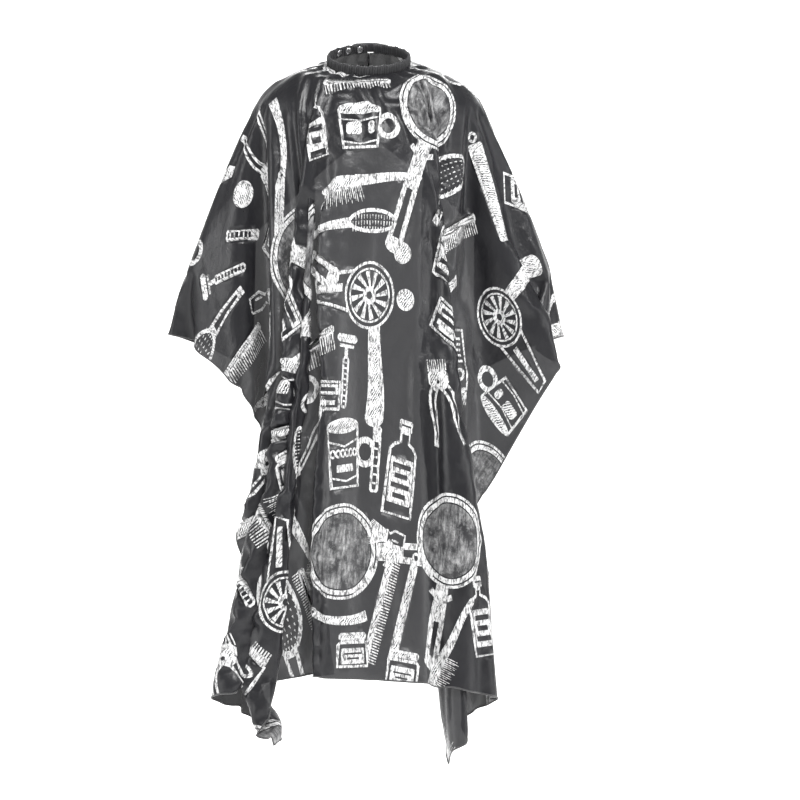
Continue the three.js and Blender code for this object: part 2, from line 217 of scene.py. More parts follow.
def held_out(flat):
    """The cut as it starts: its neck edge on the band, the rest spread round it as a low cone."""
    turn, run = around_neck(flat)
    sloping = np.maximum(run - CONE_START, 0)
    outward = run - sloping + sloping * math.cos(CONE_ANGLE)
    start = ring_points(turn)
    start[:, 0] += np.sin(turn) * outward
    start[:, 1] += np.cos(turn) * outward
    start[:, 2] = start[:, 2] * np.exp(-run / NECK_LEVEL_REACH) - sloping * math.sin(CONE_ANGLE)
    return start - CLOTH_DROP * BAND_AXIS


def side_faces(rings, sides):
    """Four-cornered faces between rings of points that follow each other."""
    faces = []
    for k in range(rings - 1):
        for j in range(sides):
            n = (j + 1) % sides
            faces.append((k * sides + j, k * sides + n, (k + 1) * sides + n, (k + 1) * sides + j))
    return faces


def closed_faces(rings, sides, turned=False):
    """The same with a face on each end; turned is for rings that run the other way."""
    first, last = tuple(range(sides)), tuple(range((rings - 1) * sides, rings * sides))
    ends = [first, last[::-1]] if turned else [first[::-1], last]
    return side_faces(rings, sides) + ends


def squircle(turn, half_width, half_depth, roundness):
    """A point of a superellipse: 2 makes an ellipse, and more makes it squarer."""
    s, c = math.sin(turn), math.cos(turn)
    across = half_width * math.copysign(abs(s) ** (2 / roundness), s)
    return across, half_depth * math.copysign(abs(c) ** (2 / roundness), c)


def loft(name, rings, roundness):
    """A solid through superellipse rings of (x, y, z, half width, half depth), for cloth to rest on."""
    sides = 40
    points = []
    for x, y, z, half_width, half_depth in rings:
        for k in range(sides):
            across, along = squircle(math.tau * k / sides, half_width, half_depth, roundness)
            points.append((x + across, y + along, z))
    mesh = bpy.data.meshes.new(name)
    mesh.from_pydata(points, [], side_faces(len(rings), sides))
    solid = add_object(name, mesh)
    solid.modifiers.new("collision", "COLLISION")
    solid.collision.thickness_outer = CLOTH_GAP
    solid.collision.cloth_friction = 8
    return solid


def make_wearer():
    """A slim-waisted torso and two arms held a little out, which only the simulation needs."""
    rings = []
    for z, half_width, half_depth, y in TORSO_LEVELS:
        slimming = WAIST_SLIMNESS * min(1, max(0, (-z - 0.09) / 0.15))
        rings.append((0, y, z, half_width * (1 - slimming), half_depth))
    wearer = [loft("torso", rings, 2.2)]
    for side in (-1, 1):
        arm = []
        for share in np.linspace(0, 1, 12):
            x, y, z = (a + (b - a) * share for a, b in zip(ARM_START, ARM_END))
            radius = ARM_RADIUS - (ARM_RADIUS - WRIST_RADIUS) * share
            arm.append((side * x, y, z, radius, radius * 1.1))
        arm.append((side * ARM_END[0], ARM_END[1], ARM_END[2] - 0.02, 0.004, 0.004))
        wearer.append(loft("arm", arm, 2.0))
    return wearer


def settle(cloth, flat, frames, self_collision):
    """Run one stretch of cloth simulation and leave its result in the mesh."""
    cloth.shape_key_add(name="Basis")
    rest = cloth.shape_key_add(name="flat_cut")
    rest.data.foreach_set("co", np.column_stack([flat, np.zeros(len(flat))]).ravel())
    modifier = cloth.modifiers.new("cloth", "CLOTH")
    settings, touch = modifier.settings, modifier.collision_settings
    settings.quality = 6
    settings.mass = 0.12
    settings.tension_stiffness = settings.compression_stiffness = 20
    settings.shear_stiffness = 15
    settings.bending_stiffness = 1.5
    settings.tension_damping = settings.compression_damping = settings.shear_damping = 5
    settings.bending_damping = 0.5
    settings.air_damping = 2
    settings.vertex_group_mass = "neck_edge"
    settings.rest_shape_key = rest
    touch.use_collision = True
    touch.distance_min = CLOTH_GAP
    touch.collision_quality = 3
    touch.use_self_collision = self_collision
    touch.self_distance_min = CLOTH_GAP
    touch.self_friction = 0.5
    scene.frame_start, scene.frame_end = 1, frames
    modifier.point_cache.frame_start, modifier.point_cache.frame_end = 1, frames
    for step in range(1, frames + 1):
        scene.frame_set(step)
    settled = cloth.evaluated_get(bpy.context.evaluated_depsgraph_get())
    points = np.empty(len(flat) * 3)
    settled.data.vertices.foreach_get("co", points)
    cloth.modifiers.remove(modifier)
    cloth.shape_key_clear()
    cloth.data.vertices.foreach_set("co", points)
    cloth.data.update()
    scene.frame_set(1)
    return points.reshape(-1, 3)


def loop_edges(first, count):
    """The edges of a closed run of points."""
    return [(first + k, first + (k + 1) % count) for k in range(count)]


def drape():
    """The draped cut as (flat points, hanging points, triangles), on the coarse grid."""
    outline = cut_outline(COARSE_STEP)
    seeds = outline + lattice(COARSE_STEP)
    edges = loop_edges(0, len(outline))
    mesh_parts = delaunay_2d_cdt([Vector(p) for p in seeds], edges, [list(range(len(outline)))], 2, 1e-7)
    flat = np.array([tuple(p) for p in mesh_parts[0]])
    triangles = np.array(mesh_parts[2])
    start = held_out(flat)
    mesh = bpy.data.meshes.new("cloth")
    mesh.from_pydata(start.tolist(), [], triangles.tolist())
    cloth = add_object("cloth", mesh)
    neck = np.nonzero(np.hypot(flat[:, 0], flat[:, 1]) < HOLE_RADIUS + 1e-4)[0]
    cloth.vertex_groups.new(name="neck_edge").add(neck.tolist(), 1.0, "REPLACE")
    wearer = make_wearer()
    settle(cloth, flat, SETTLE_FRAMES, False)
    hanging = settle(cloth, flat, SELF_FRAMES, True)
    for item in wearer + [cloth]:
        bpy.data.objects.remove(item)
    return flat, hanging, triangles


# ---- the print: barber's tools, drawn on the flat sheet ------------------------------------------------
# A motif is a list of (outline, ink) pairs, painted in order, in centimetres with +y up. A later outline
# covers an earlier one, so a CLOTH outline cuts a hole in what is under it.

CLOTH, INK, HATCH, GLASS = range(4)
LINE_WEIGHT = 1.45
BRISTLE_TIP = 0.07
LONG_BAR, SHORT_BAR = 0.94, 0.66


def oval(x, y, rx, ry, turn=0.0, sides=26):
    points = []
    for k in range(sides):
        t = math.tau * k / sides
        px, py = rx * math.cos(t), ry * math.sin(t)
        across = x + px * math.cos(turn) - py * math.sin(turn)
        up = y + px * math.sin(turn) + py * math.cos(turn)
        points.append((across, up))
    return points


def ring(x, y, outer, inner, sides=14, hole_sides=8, turn=0.0):
    """A white oval with a hole in it; outer and inner are (half width, half height)."""
    return [(oval(x, y, *outer, turn, sides), INK), (oval(x, y, *inner, turn, hole_sides), CLOTH)]


def round_ring(x, y, radius, hole, sides=14, hole_sides=8):
    return ring(x, y, (radius, radius), (hole, hole), sides, hole_sides)


def bar(x, y, width, height, corner=0.15):
    """A rectangle about (x, y) with cut corners."""
    w, h, c = width / 2, height / 2, min(corner, width / 3, height / 3)
    return [(x - w + c, y - h), (x + w - c, y - h), (x + w, y - h + c), (x + w, y + h - c),
            (x + w - c, y + h), (x - w + c, y + h), (x - w, y + h - c), (x - w, y - h + c)]


def arc(x, y, radius, start, end, steps=12):
    """Points round an arc, with its angles in degrees."""
    angles = [math.radians(start + (end - start) * k / steps) for k in range(steps + 1)]
    return [(x + radius * math.cos(t), y + radius * math.sin(t)) for t in angles]


def stroke(path, first, last=None):
    """The outline of a line along path, whose width runs from first to last."""
    last = first if last is None else last
    left, right = [], []
    for k, (x, y) in enumerate(path):
        ahead, behind = path[min(k + 1, len(path) - 1)], path[max(k - 1, 0)]
        dx, dy = ahead[0] - behind[0], ahead[1] - behind[1]
        length = math.hypot(dx, dy) or 1.0
        half = (first + (last - first) * k / (len(path) - 1)) / 2
        left.append((x - dy / length * half, y + dx / length * half))
        right.append((x + dy / length * half, y - dx / length * half))
    return left + right[::-1]


def bezier(a, b, c, d, steps=10):
    points = []
    for k in range(steps + 1):
        t = k / steps
        weights = ((1 - t) ** 3, 3 * t * (1 - t) ** 2, 3 * t * t * (1 - t), t ** 3)
        points.append(tuple(sum(w * p[i] for w, p in zip(weights, (a, b, c, d))) for i in (0, 1)))
    return points


def outlined(outline, inside=HATCH, line=0.35):
    """A bold white outline round an area: the whole shape, then the same shape drawn in by a line's width."""
    line *= LINE_WEIGHT
    cx = sum(p[0] for p in outline) / len(outline)
    cy = sum(p[1] for p in outline) / len(outline)
    inner = []
    for k, (x, y) in enumerate(outline):
        ahead, behind = outline[(k + 1) % len(outline)], outline[k - 1]
        dx, dy = ahead[0] - behind[0], ahead[1] - behind[1]
        length = math.hypot(dx, dy) or 1.0
        nx, ny = -dy / length, dx / length
        if nx * (cx - x) + ny * (cy - y) < 0:
            nx, ny = -nx, -ny
        inner.append((x + nx * line, y + ny * line))
    return [(outline, INK), (inner, inside)]


def bristles(x0, x1, top, length, count, lean=0.0, width=0.16):
    strokes = []
    for k in range(count):
        share = k / (count - 1)
        x = x0 + (x1 - x0) * share
        end = length * (0.86 + 0.14 * math.sin(k * 2.4))
        spread = lean * (share - 0.5)
        path = [(x, top), (x + spread * 0.5, top - end * 0.5), (x + spread, top - end)]
        strokes.append((stroke(path, width, BRISTLE_TIP), INK))
    return strokes


def label_bars(x, y, width, rows, gap=0.62, ink=CLOTH, height=0.26):
    """Plain bars, long and short in turn, one where each line of words would be on a label."""
    marks = []
    for row in range(rows):
        cy = y + (rows - 1) * gap / 2 - row * gap
        span = width * (LONG_BAR if row % 2 == 0 else SHORT_BAR)
        marks.append((bar(x, cy, span, height, 0.05), ink))
    return marks


def mirror(radius=6.0, handle=12.0, squeeze=0.92):
    """A hand mirror: a wide engraved rim round mottled glass, on a turned handle."""
    def disc(size, ink):
        return (oval(0, 0, size * squeeze, size, sides=40), ink)

    grip = [(0, -radius + 0.3), (0, -radius - handle * 0.45), (0, -radius - handle)]
    neck = [(0, -radius - 0.6), (0, -radius - handle * 0.4)]
    collar = [(-1.9, -radius - 0.9), (0, -radius - 2.2), (1.9, -radius - 0.9)]
    shape = [(stroke(grip, 2.2, 3.0), INK), (stroke(grip[1:], 0.9, 1.3), CLOTH)]
    shape += [(stroke(neck, 1.1, 0.5), HATCH)]
    shape += [(oval(0, -radius - handle, 1.6, 1.1, sides=14), INK), (stroke(collar, 0.8), INK)]
    shape += [disc(radius, INK), disc(radius - 0.38, CLOTH), disc(radius - 0.6, INK)]
    shape += [disc(radius - 1.25, CLOTH), disc(radius - 1.45, GLASS)]
    shape += [(stroke(arc(0, 0, (radius - 0.2) * squeeze, 200, 250, 8), 0.4, 0.9), INK)]
    return shape


def hair_brush(length=11.0):
    """A styling brush lying level: oval back, bristles below and a shaped handle to the right."""
    shape = bristles(-length * 0.52, length * 0.12, 0, 2.5, 26, lean=1.2, width=0.2)
    handle = bezier((length * 0.05, 0.55), (length * 0.35, 0.1), (length * 0.55, 0.9), (length, 0.75))
    shape += [(stroke(handle, 1.5, 0.95), INK), (oval(length, 0.75, 0.6, 0.48, sides=12), INK)]
    shape += outlined(oval(-length * 0.2, 0.45, length * 0.35, 1.0, sides=28), HATCH, 0.3)
    return shape


def vent_brush(length=10.0):
    """A round-backed brush with its handle to the left and a field of pins."""
    shape = [(stroke([(-length * 0.95, 0.1), (-length * 0.5, -0.05), (-length * 0.1, 0)], 0.9, 1.3), INK)]
    shape += [(oval(-length * 0.95, 0.1, 0.75, 0.6, sides=12), INK)]
    shape += outlined(oval(length * 0.22, 0.15, length * 0.4, 1.55, sides=30), CLOTH, 0.32)
    for row in range(3):
        shape += bristles(-length * 0.1, length * 0.54, 0.9 - row * 0.75, 0.62, 15, width=0.2)
    return shape


def paddle_brush(length=13.0):
    """A long padded brush seen from its face, with rows of pins."""
    shape = [(stroke([(0, -length * 0.3), (0, -length * 0.62), (0, -length)], 2.2, 1.3), INK)]
    shape += [(stroke([(0, -length * 0.42), (0, -length * 0.9)], 1.1, 0.5), CLOTH)]
    shape += outlined(oval(0, length * 0.12, 3.0, length * 0.5, sides=36), CLOTH, 0.4)
    for row in range(12):
        half = 2.3 * math.sqrt(max(0.05, 1 - ((row - 5.5) / 6.6) ** 2))
        top = length * 0.12 + (5.5 - row) * length * 0.075
        shape += bristles(-half, half, top, 0.5, 7, lean=0.3, width=0.22)
    return shape


def dryer(radius=4.2):
    """A hair dryer: a finned fan housing, a nozzle to the left and a grip below."""
    nozzle = [(-radius * 2.7, 2.1), (-radius * 2.6, -0.7), (-radius * 0.4, -2.7), (0, 3.4)]
    shape = outlined(nozzle, CLOTH, 0.35)
    shape += label_bars(-radius * 1.75, 0.75, radius * 1.35, 1, ink=INK, height=1.0)
    foot = (radius * 0.4, -15)
    grip = bezier((radius * 0.25, -radius * 0.7), (radius * 0.3, -8), (radius * 0.55, -11), foot)
    shape += [(stroke(grip, 1.8, 3.1), INK), (oval(*foot, 1.55, 1.1, sides=16), INK)]
    shape += [(stroke(grip[2:], 0.8, 1.7), HATCH)]
    shape += round_ring(0, 0, radius, radius - 0.35, 34, 34)
    shape += round_ring(0, 0, radius - 0.8, radius - 1.05, 34, 34)
    inner, outer, fins, sweep = 1.05, radius - 1.2, 12, 0.2
    for k in range(fins):
        t = math.tau * k / fins
        root = (inner * math.cos(t), inner * math.sin(t))
        tip = (outer * math.cos(t + sweep), outer * math.sin(t + sweep))
        shape += [(stroke([root, tip], 0.25, 0.75), INK)]
    return shape + round_ring(0, 0, 1.15, 0.5, 16, 12)


def comb(length=12.0, teeth=26, depth=2.3, tail=0.0):
    """A comb with its back on top; a tail makes it a rat-tail comb."""
    shape = outlined(bar(0, 0.45, length, 1.25, 0.3), HATCH, 0.28)
    pitch = (length - 0.8) / teeth
    for k in range(teeth + 1):
        x = -length / 2 + 0.4 + k * pitch
        shape += [(stroke([(x, 0.1), (x, -depth)], pitch * 0.62, pitch * 0.34), INK)]
    if tail:
        shape += [(stroke([(-length / 2, 0.5), (-length / 2 - tail, 0.2)], 1.0, 0.3), INK)]
    return shape


def safety_razor(length=9.0):
    """A razor head across the top of a ribbed handle."""
    shape = outlined(bar(0, length / 2, 3.9, 1.0, 0.35), HATCH, 0.28)
    shape += [(bar(0, length / 2 - 0.95, 2.9, 0.4, 0.1), INK), (bar(0, length / 2 - 1.6, 0.7, 1.1, 0.1), INK)]
    shape += outlined(bar(0, -0.9, 1.35, length * 0.72, 0.4), CLOTH, 0.26)
    for k in range(9):
        shape += [(bar(0, -length * 0.36 + k * length * 0.075, 0.75, 0.22, 0.05), INK)]
    return shape


def straight_razor(length=12.0):
    """A cut-throat razor, half open."""
    handle = bezier((0, 0), (length * 0.3, -1.2), (length * 0.7, -1.0), (length, 0.6))
    shape = [(stroke(handle, 1.0, 1.7), INK), (stroke(handle[1:-1], 0.4, 0.8), HATCH)]
    blade = [(-0.5, -0.5), (-0.2, 0.9), (-length * 0.12, 1.6), (-length * 0.72, 2.6), (-length * 0.78, 1.3),
             (-length * 0.68, 0.5)]
    return shape + outlined(blade, HATCH, 0.3) + round_ring(0, 0.1, 0.75, 0.28)


def clipper(length=10.0):
    """A hand clipper: a toothed head and two long grips."""
    shape = []
    for side in (-1, 1):
        grip = bezier((side * 0.5, length * 0.22), (side * 3.0, 0), (side * 1.2, -length * 0.3),
                      (side * 2.6, -length * 0.6))
        shape += [(stroke(grip, 1.5, 0.9), INK), (stroke(grip[1:-1], 0.6, 0.3), CLOTH)]
    shape += outlined(bar(0, length * 0.3, 3.6, 2.6, 0.7), HATCH, 0.3)
    for k in range(9):
        x = -1.6 + k * 0.4
        shape += [(stroke([(x, length * 0.4), (x * 1.06, length * 0.56)], 0.24, 0.14), INK)]
    return shape + round_ring(0, length * 0.26, 0.7, 0.3, 12)


def machine_clipper(length=9.5):
    """A boxed clipper with a ribbed grip and a cutting head."""
    body = [(-1.7, -length / 2), (1.5, -length / 2), (2.1, 0), (1.9, length * 0.36), (-1.9, length * 0.36),
            (-2.2, 0)]
    shape = outlined(body, CLOTH, 0.35)
    shape += [(bar(0, length * 0.42, 3.4, 1.1, 0.2), INK)]
    for k in range(8):
        x = -1.5 + k * 0.43
        shape += [(stroke([(x, length * 0.46), (x, length * 0.57)], 0.22), INK)]
    for k in range(5):
        shape += [(bar(0, -length * 0.36 + k * 0.75, 2.0 + 0.1 * k, 0.34, 0.08), INK)]
    return shape + ring(0, length * 0.14, (1.1, 0.85), (0.6, 0.42), 14, 10)


def mug(width=6.6, height=5.8, circles=0):
    """A shaving mug with a ring handle to the right, and a band of circles where one is asked for."""
    w, h = width / 2, height / 2
    shape = ring(w + 0.9, 0.3, (1.9, 1.9), (1.05, 1.1), 20, 16)
    shape += outlined([(-w * 0.84, -h), (w * 0.84, -h), (w, h), (-w, h)], CLOTH, 0.34)
    shape += [(oval(0, h, w, 0.95, sides=26), INK), (oval(0, h, w - 0.35, 0.6, sides=24), HATCH)]
    shape += [(stroke([(-w * 0.95, h * 0.55), (0, h * 0.33), (w * 0.95, h * 0.55)], 0.24), INK)]
    shape += [(stroke([(-w * 0.86, -h * 0.62), (0, -h * 0.78), (w * 0.86, -h * 0.62)], 0.24), INK)]
    for k in range(circles):
        x = -w * 0.68 + k * w * 1.36 / max(circles - 1, 1)
        shape += ring(x, h * 0.12, (0.5, 0.55), (0.24, 0.28), 12)
    if circles:
        return shape + label_bars(0, -h * 0.36, w * 1.1, 1, ink=INK, height=0.9)
    shape += [(bar(-w * 0.3, 0, w * 0.7, h * 0.62, 0.3), HATCH)]
    return shape + [(bar(w * 0.5, 0, w * 0.3, h * 0.62, 0.3), INK)]


def bottle(width=4.6, height=11.0, rows=4, neck=0.34):
    """A lotion bottle with a blank label: plain bars in place of words."""
    w, h = width / 2, height / 2
    shoulder = h * 0.42
    right = [(w, -h), (w, shoulder - 0.5), (w * 0.7, shoulder + 0.4), (w * neck, shoulder + 0.8),
             (w * neck, h - 1.5)]
    outline = [(-w, -h)] + right + [(-x, y) for x, y in right[:0:-1]]
    shape = outlined(outline, CLOTH, 0.32)
    shape += [(bar(0, h - 0.75, width * neck + 0.7, 1.5, 0.2), INK)]
    shape += [(bar(0, h - 0.75, width * neck, 0.25, 0.05), CLOTH)]
    label = h * 0.95
    pitch = label / (rows + 0.6)
    shape += [(bar(0, -h * 0.28, width * 0.78, label, 0.15), INK)]
    return shape + label_bars(0, -h * 0.28, width * 0.66, rows, gap=pitch, height=pitch * 0.5)


def jar(width=5.0, height=4.6):
    """A squat lidded jar with a blank label."""
    w, h = width / 2, height / 2
    body = [(-w, -h), (w, -h), (w, h * 0.4), (w * 0.82, h * 0.62), (-w * 0.82, h * 0.62), (-w, h * 0.4)]
    shape = outlined(body, CLOTH, 0.32)
    shape += outlined(bar(0, h * 0.86, width * 0.9, 1.15, 0.3), HATCH, 0.26)
    shape += [(bar(0, -h * 0.3, width * 0.74, h * 0.95, 0.15), INK)]
    return shape + label_bars(0, -h * 0.3, width * 0.6, 2, gap=0.7)


def shaving_brush(length=8.5):
    """Bristles up, a waisted handle below."""
    shape = []
    for k in range(17):
        share = (k - 8) / 8
        top = (share * 2.1, length * (0.56 - 0.07 * share * share))
        shape += [(stroke([(share * 0.8, 0.7), (share * 1.5, length * 0.3), top], 0.26, 0.12), INK)]
    handle = [(-1.15, 0.9), (-0.75, 0.1), (-1.5, -1.0), (-1.2, -length * 0.42)]
    shape += outlined(handle + [(-x, y) for x, y in handle[::-1]], CLOTH, 0.3)
    return shape + [(bar(0, 0.75, 2.3, 0.5, 0.1), INK), (bar(-0.45, -1.3, 0.35, 1.6, 0.1), INK)]


def scissors(length=11.0):
    """Two crossed blades above a pair of finger rings."""
    shape = []
    for side in (-1, 1):
        blade = [(side * 0.9, -0.8), (side * 0.25, length * 0.02), (-side * 0.9, length * 0.52),
                 (-side * 0.35, length * 0.2)]
        shank = bezier((0, 0), (side * 0.9, -1.2), (side * 0.8, -2), (side * 1.4, -2.9))
        shape += [(blade, INK), (stroke(shank, 0.7, 0.6), INK)]
        shape += ring(side * 1.75, -4.2, (1.35, 1.75), (0.85, 1.2), 20, 18, side * 0.3)
    return shape + round_ring(0, 0, 0.6, 0.22, 10)


def tube(length=6.5, width=1.6):
    """A styptic stick or a file: a capped tube with rings."""
    shape = outlined(bar(0, 0, width, length, 0.3), CLOTH, 0.28)
    for k in range(5):
        shape += [(bar(0, -length * 0.36 + k * length * 0.13, width * 0.62, 0.26, 0.05), INK)]
    return shape + [(bar(0, length * 0.36, width * 0.9, length * 0.2, 0.1), INK)]


def blade_box(width=5.6, height=3.4, rows=3):
    """A flat packet of blades with a blank label."""
    shape = outlined(bar(0, 0, width, height, 0.15), CLOTH, 0.28)
    shape += [(bar(0, height * 0.2, width * 0.82, height * 0.34, 0.08), INK)]
    shape += label_bars(0, height * 0.2, width * 0.66, 1, height=height * 0.14)
    return shape + label_bars(0, -height * 0.24, width * 0.7, max(rows - 2, 1), ink=INK, height=height * 0.15)


def ball(radius=1.9):
    shape = outlined(oval(0, 0, radius, radius, sides=22), HATCH, 0.3)
    return shape + [(oval(-radius * 0.3, radius * 0.35, radius * 0.28, radius * 0.2, 0.6, 10), INK)]


def strop(length=14.0, width=2.6):
    """A hanging strop: a long strap with a fitting at its end."""
    shape = outlined(bar(0, 0, width, length, 0.3), HATCH, 0.3)
    shape += [(bar(0, length * 0.42, width * 0.7, 1.0, 0.1), INK)]
    return shape + round_ring(0, length / 2 + 0.9, 0.8, 0.4, 14, 10)

# The listed motifs are all drawn this much larger than the layout says, to cover more of the cloth.
LAYOUT_GROWTH = 1.12

# The print's layout on the flat cut: each motif with its place in centimetres, turn in degrees and scale.
LAYOUT = [
    (comb(11, 22, 1.6), -2, -12.5, 8, 1.1), (bottle(3.6, 9.5, 2, 0.4), -11, -21, 4, 1.15),
    (mug(), -1.5, -22.5, 2, 1.2), (mirror(6.4, 15), 14, -16, -14, 1.15), (hair_brush(), -3, -33, 7, 1.2),
    (vent_brush(), -1, -39.5, 3, 1.25), (dryer(), 2.5, -52, 0, 1.25), (ball(), 9.5, -44, 0, 0.9),
    (ball(1.7), 10.8, -52, 0, 1.0), (comb(11, 20, 2.6, 4), -12.5, -60, 12, 1.05),
    (safety_razor(), -3, -66, -4, 1.25), (blade_box(5.6, 4.0), -8, -69.5, -3, 1.15),
    (clipper(), -13.5, -76, -28, 1.2), (mug(6.2, 7.6, 6), -2.5, -80, 7, 1.25),
    (tube(8.5, 1.5), 5.5, -80, -3, 1.2), (bottle(5.2, 12.5, 4), 11.5, -81, -8, 1.2),
    (mirror(6.6, 9), -2, -96, 92, 1.2), (shaving_brush(), -13.5, -100, 78, 0.95),
    (shaving_brush(), 9, -93, 80, 0.9), (straight_razor(11), -8, -106.5, -4, 1.0),
    (comb(22, 46, 1.5), -15.5, -110, -68, 1.0), (comb(19, 40, 1.7), 7.5, -105, 74, 1.0),
    (strop(15, 1.5), 12.5, -106, -16, 1.1), (jar(5.4, 4.8), 1.5, -113, 3, 1.1),
    (jar(5.8, 5.4), 12.5, -116, -6, 1.05), (paddle_brush(), -24, -107, 18, 1.25),
    (mirror(7.2, 12), -30, -36, 60, 1.25), (scissors(), -21.5, -42, -24, 1.15),
    (straight_razor(), -27, -20, 60, 1.05), (blade_box(6, 4.4), -22, -53, -70, 1.15),
    (shaving_brush(), -31, -52, 40, 1.1), (mug(6.4, 6), -23, -66, -18, 1.15),
    (strop(16, 2), -30, -73, 84, 1.1), (jar(), -23, -80, 14, 1.1),
    (comb(15, 30, 2.2), -31, -84, -62, 1.1), (hair_brush(), -22, -90, -60, 1.05),
    (safety_razor(), -33, -98, 30, 1.2), (clipper(), -35, -115, 8, 1.2),
    (paddle_brush(), 24, -24, -30, 1.05), (bottle(5, 11, 3), 21, -40, -12, 1.1),
    (shaving_brush(), 28, -36, -35, 1.1), (comb(14, 28, 2), 33, -28, 60, 1.1),
    (straight_razor(), 30, -46, 50, 1.1), (blade_box(7, 5, 4), 22, -54, -20, 1.1),
    (clipper(), 21, -68, 12, 1.15), (mirror(6.4, 11), 23, -92, -10, 1.15), (dryer(), 35, -80, 150, 1.15),
    (bottle(5, 11, 3), 31, -104, 14, 1.15), (hair_brush(), 22, -114, 60, 1.1), (jar(), 40, -117, 10, 1.1),
]

# Elsewhere the print goes on in rows, with the same tools in turn.
SCATTER = [
    mirror, scissors, bottle, hair_brush, machine_clipper, mug, straight_razor, jar, dryer, comb,
    shaving_brush, blade_box, paddle_brush, safety_razor, tube, strop, vent_brush, ball, clipper,
]
SCATTER_GAP = 4.0
SCATTER_SCALE = 1.3
ROW_TURN, COLUMN_TURN = 57, 83
CELL = 0.011


def place_motif(motif, u, v, turn, scale):
    """A motif's outlines on the flat cut, in metres, from centimetres and degrees."""
    turn = math.radians(turn)
    c, s = math.cos(turn) * scale / 100, math.sin(turn) * scale / 100
    placed = []
    for outline, ink in motif:
        placed.append(([(u / 100 + x * c - y * s, v / 100 + x * s + y * c) for x, y in outline], ink))
    return placed


def cells(shapes):
    """The cells of a coarse grid that a motif covers, with a little room round it."""
    points = []
    for outline, _ in shapes:
        corners = np.array(outline)
        middle = corners.mean(0)
        for share in (0.3, 0.65, 1.0):
            points.append(middle + (corners - middle) * share)
    found = np.unique(np.round(np.concatenate(points) / CELL).astype(int), axis=0)
    return {(u + du, v + dv) for u, v in found.tolist() for du in (0, 1) for dv in (0, 1)}


def print_shapes():
    """Every outline of the print: the placed motifs, then a scatter of them wherever there is still room."""
    shapes, taken = [], set()
    for motif, u, v, turn, scale in LAYOUT:
        placed = place_motif(motif, u, v, turn, round(scale * LAYOUT_GROWTH, 2))
        shapes += placed
        taken |= cells(placed)
    columns = math.ceil(HALF_WIDTH * 100 / SCATTER_GAP)
    kinds = 0
    for row in range(int((TO_FRONT_EDGE + TO_BACK_EDGE) * 100 / SCATTER_GAP) + 2):
        v = -TO_FRONT_EDGE * 100 + row * SCATTER_GAP
        for column in range(-columns, columns + 1):
            u = (column + 0.5 * (row % 2)) * SCATTER_GAP
            turn = ROW_TURN * row + COLUMN_TURN * column
            placed = place_motif(SCATTER[kinds % len(SCATTER)](), u, v, turn, SCATTER_SCALE)
            covered = cells(placed)
            if taken.isdisjoint(covered):
                shapes += placed
                taken |= covered
                kinds += 1
    return shapes


# ---- the sheet as it shows: a fine mesh with the print cut into it --------------------------------------

FINE_STEP = 0.0085
SLIVER_AREA = 1e-10
GATHER_COUNT = 58
GATHER_DEPTH = 0.0026
GATHER_REACH = 0.030
COLLAR_REACH = 0.075
COLLAR_SWELL = 0.004

# Corrections of the hang: the share or distance, then the depths below the neck between which it grows.
LOWER_SPREAD, SPREAD_FROM, SPREAD_TO = 0.10, 0.50, 0.85
RIGHT_SWING, SWING_FROM, SWING_TO = 0.32, 0.55, 1.30
HEM_LIFT, LIFT_FROM, LIFT_TO = 0.012, 0.90, 1.22

# How far to the wearer's right the swing begins, the share of the depth that is kept, and a fold's fade-in.
SWING_EDGE = 0.03
DEPTH_SHARE = 0.97
FOLD_GROWTH = 0.30


def smooth_share(value, start, end):
    share = np.clip((value - start) / (end - start), 0, 1)
    return share * share * (3 - 2 * share)


# Upright folds of the front: x of the crest, half width, height and z of the start. A groove is negative.
FRONT_FOLDS = [
    (-0.155, 0.022, 0.012, -0.30), (-0.072, 0.010, -0.012, -0.12), (-0.040, 0.022, 0.006, -0.45),
    (0.018, 0.008, -0.004, -0.10), (0.030, 0.030, 0.006, -0.50), (0.088, 0.020, 0.013, -0.16),
    (0.116, 0.011, -0.014, -0.14), (0.160, 0.024, 0.012, -0.30), (0.196, 0.012, -0.010, -0.40),
]


def dress(points, triangles):
    """The hang with its corrections: front folds, then its width, depth, one side and the hem."""
    normals = vertex_normals(points, triangles)
    normals *= np.sign(normals[:, 1:2]) * -1
    facing = smooth_share(-normals[:, 1], 0.35, 0.8) * smooth_share(-points[:, 1], 0.02, 0.07)
    rise = np.zeros(len(points))
    for crest, width, height, top in FRONT_FOLDS:
        centre = crest * (1 + 0.10 * np.sin(3.1 * points[:, 2] + 9 * crest))
        grown = smooth_share(-points[:, 2], -top, -top + FOLD_GROWTH)
        rise += height * grown * np.exp(-((points[:, 0] - centre) / width) ** 2)
    moved = points + normals * (rise * facing)[:, None]
    moved[:, 1] *= DEPTH_SHARE
    moved[:, 2] += HEM_LIFT * smooth_share(-points[:, 2], LIFT_FROM, LIFT_TO)
    moved[:, 0] *= 1 + LOWER_SPREAD * smooth_share(-points[:, 2], SPREAD_FROM, SPREAD_TO)
    swing = RIGHT_SWING * smooth_share(-points[:, 2], SWING_FROM, SWING_TO)
    moved[:, 0] += swing * np.minimum(points[:, 0] + SWING_EDGE, 0)
    return moved


def doubled_area(a, b, c):
    """Twice the signed area of flat triangles."""
    return (b[:, 0] - a[:, 0]) * (c[:, 1] - a[:, 1]) - (c[:, 0] - a[:, 0]) * (b[:, 1] - a[:, 1])


def vertex_normals(points, triangles):
    a, b, c = (points[triangles[:, k]] for k in range(3))
    face = np.cross(b - a, c - a)
    normals = np.zeros_like(points)
    for k in range(3):
        np.add.at(normals, triangles[:, k], face)
    return normals / np.maximum(np.linalg.norm(normals, axis=1, keepdims=True), 1e-12)


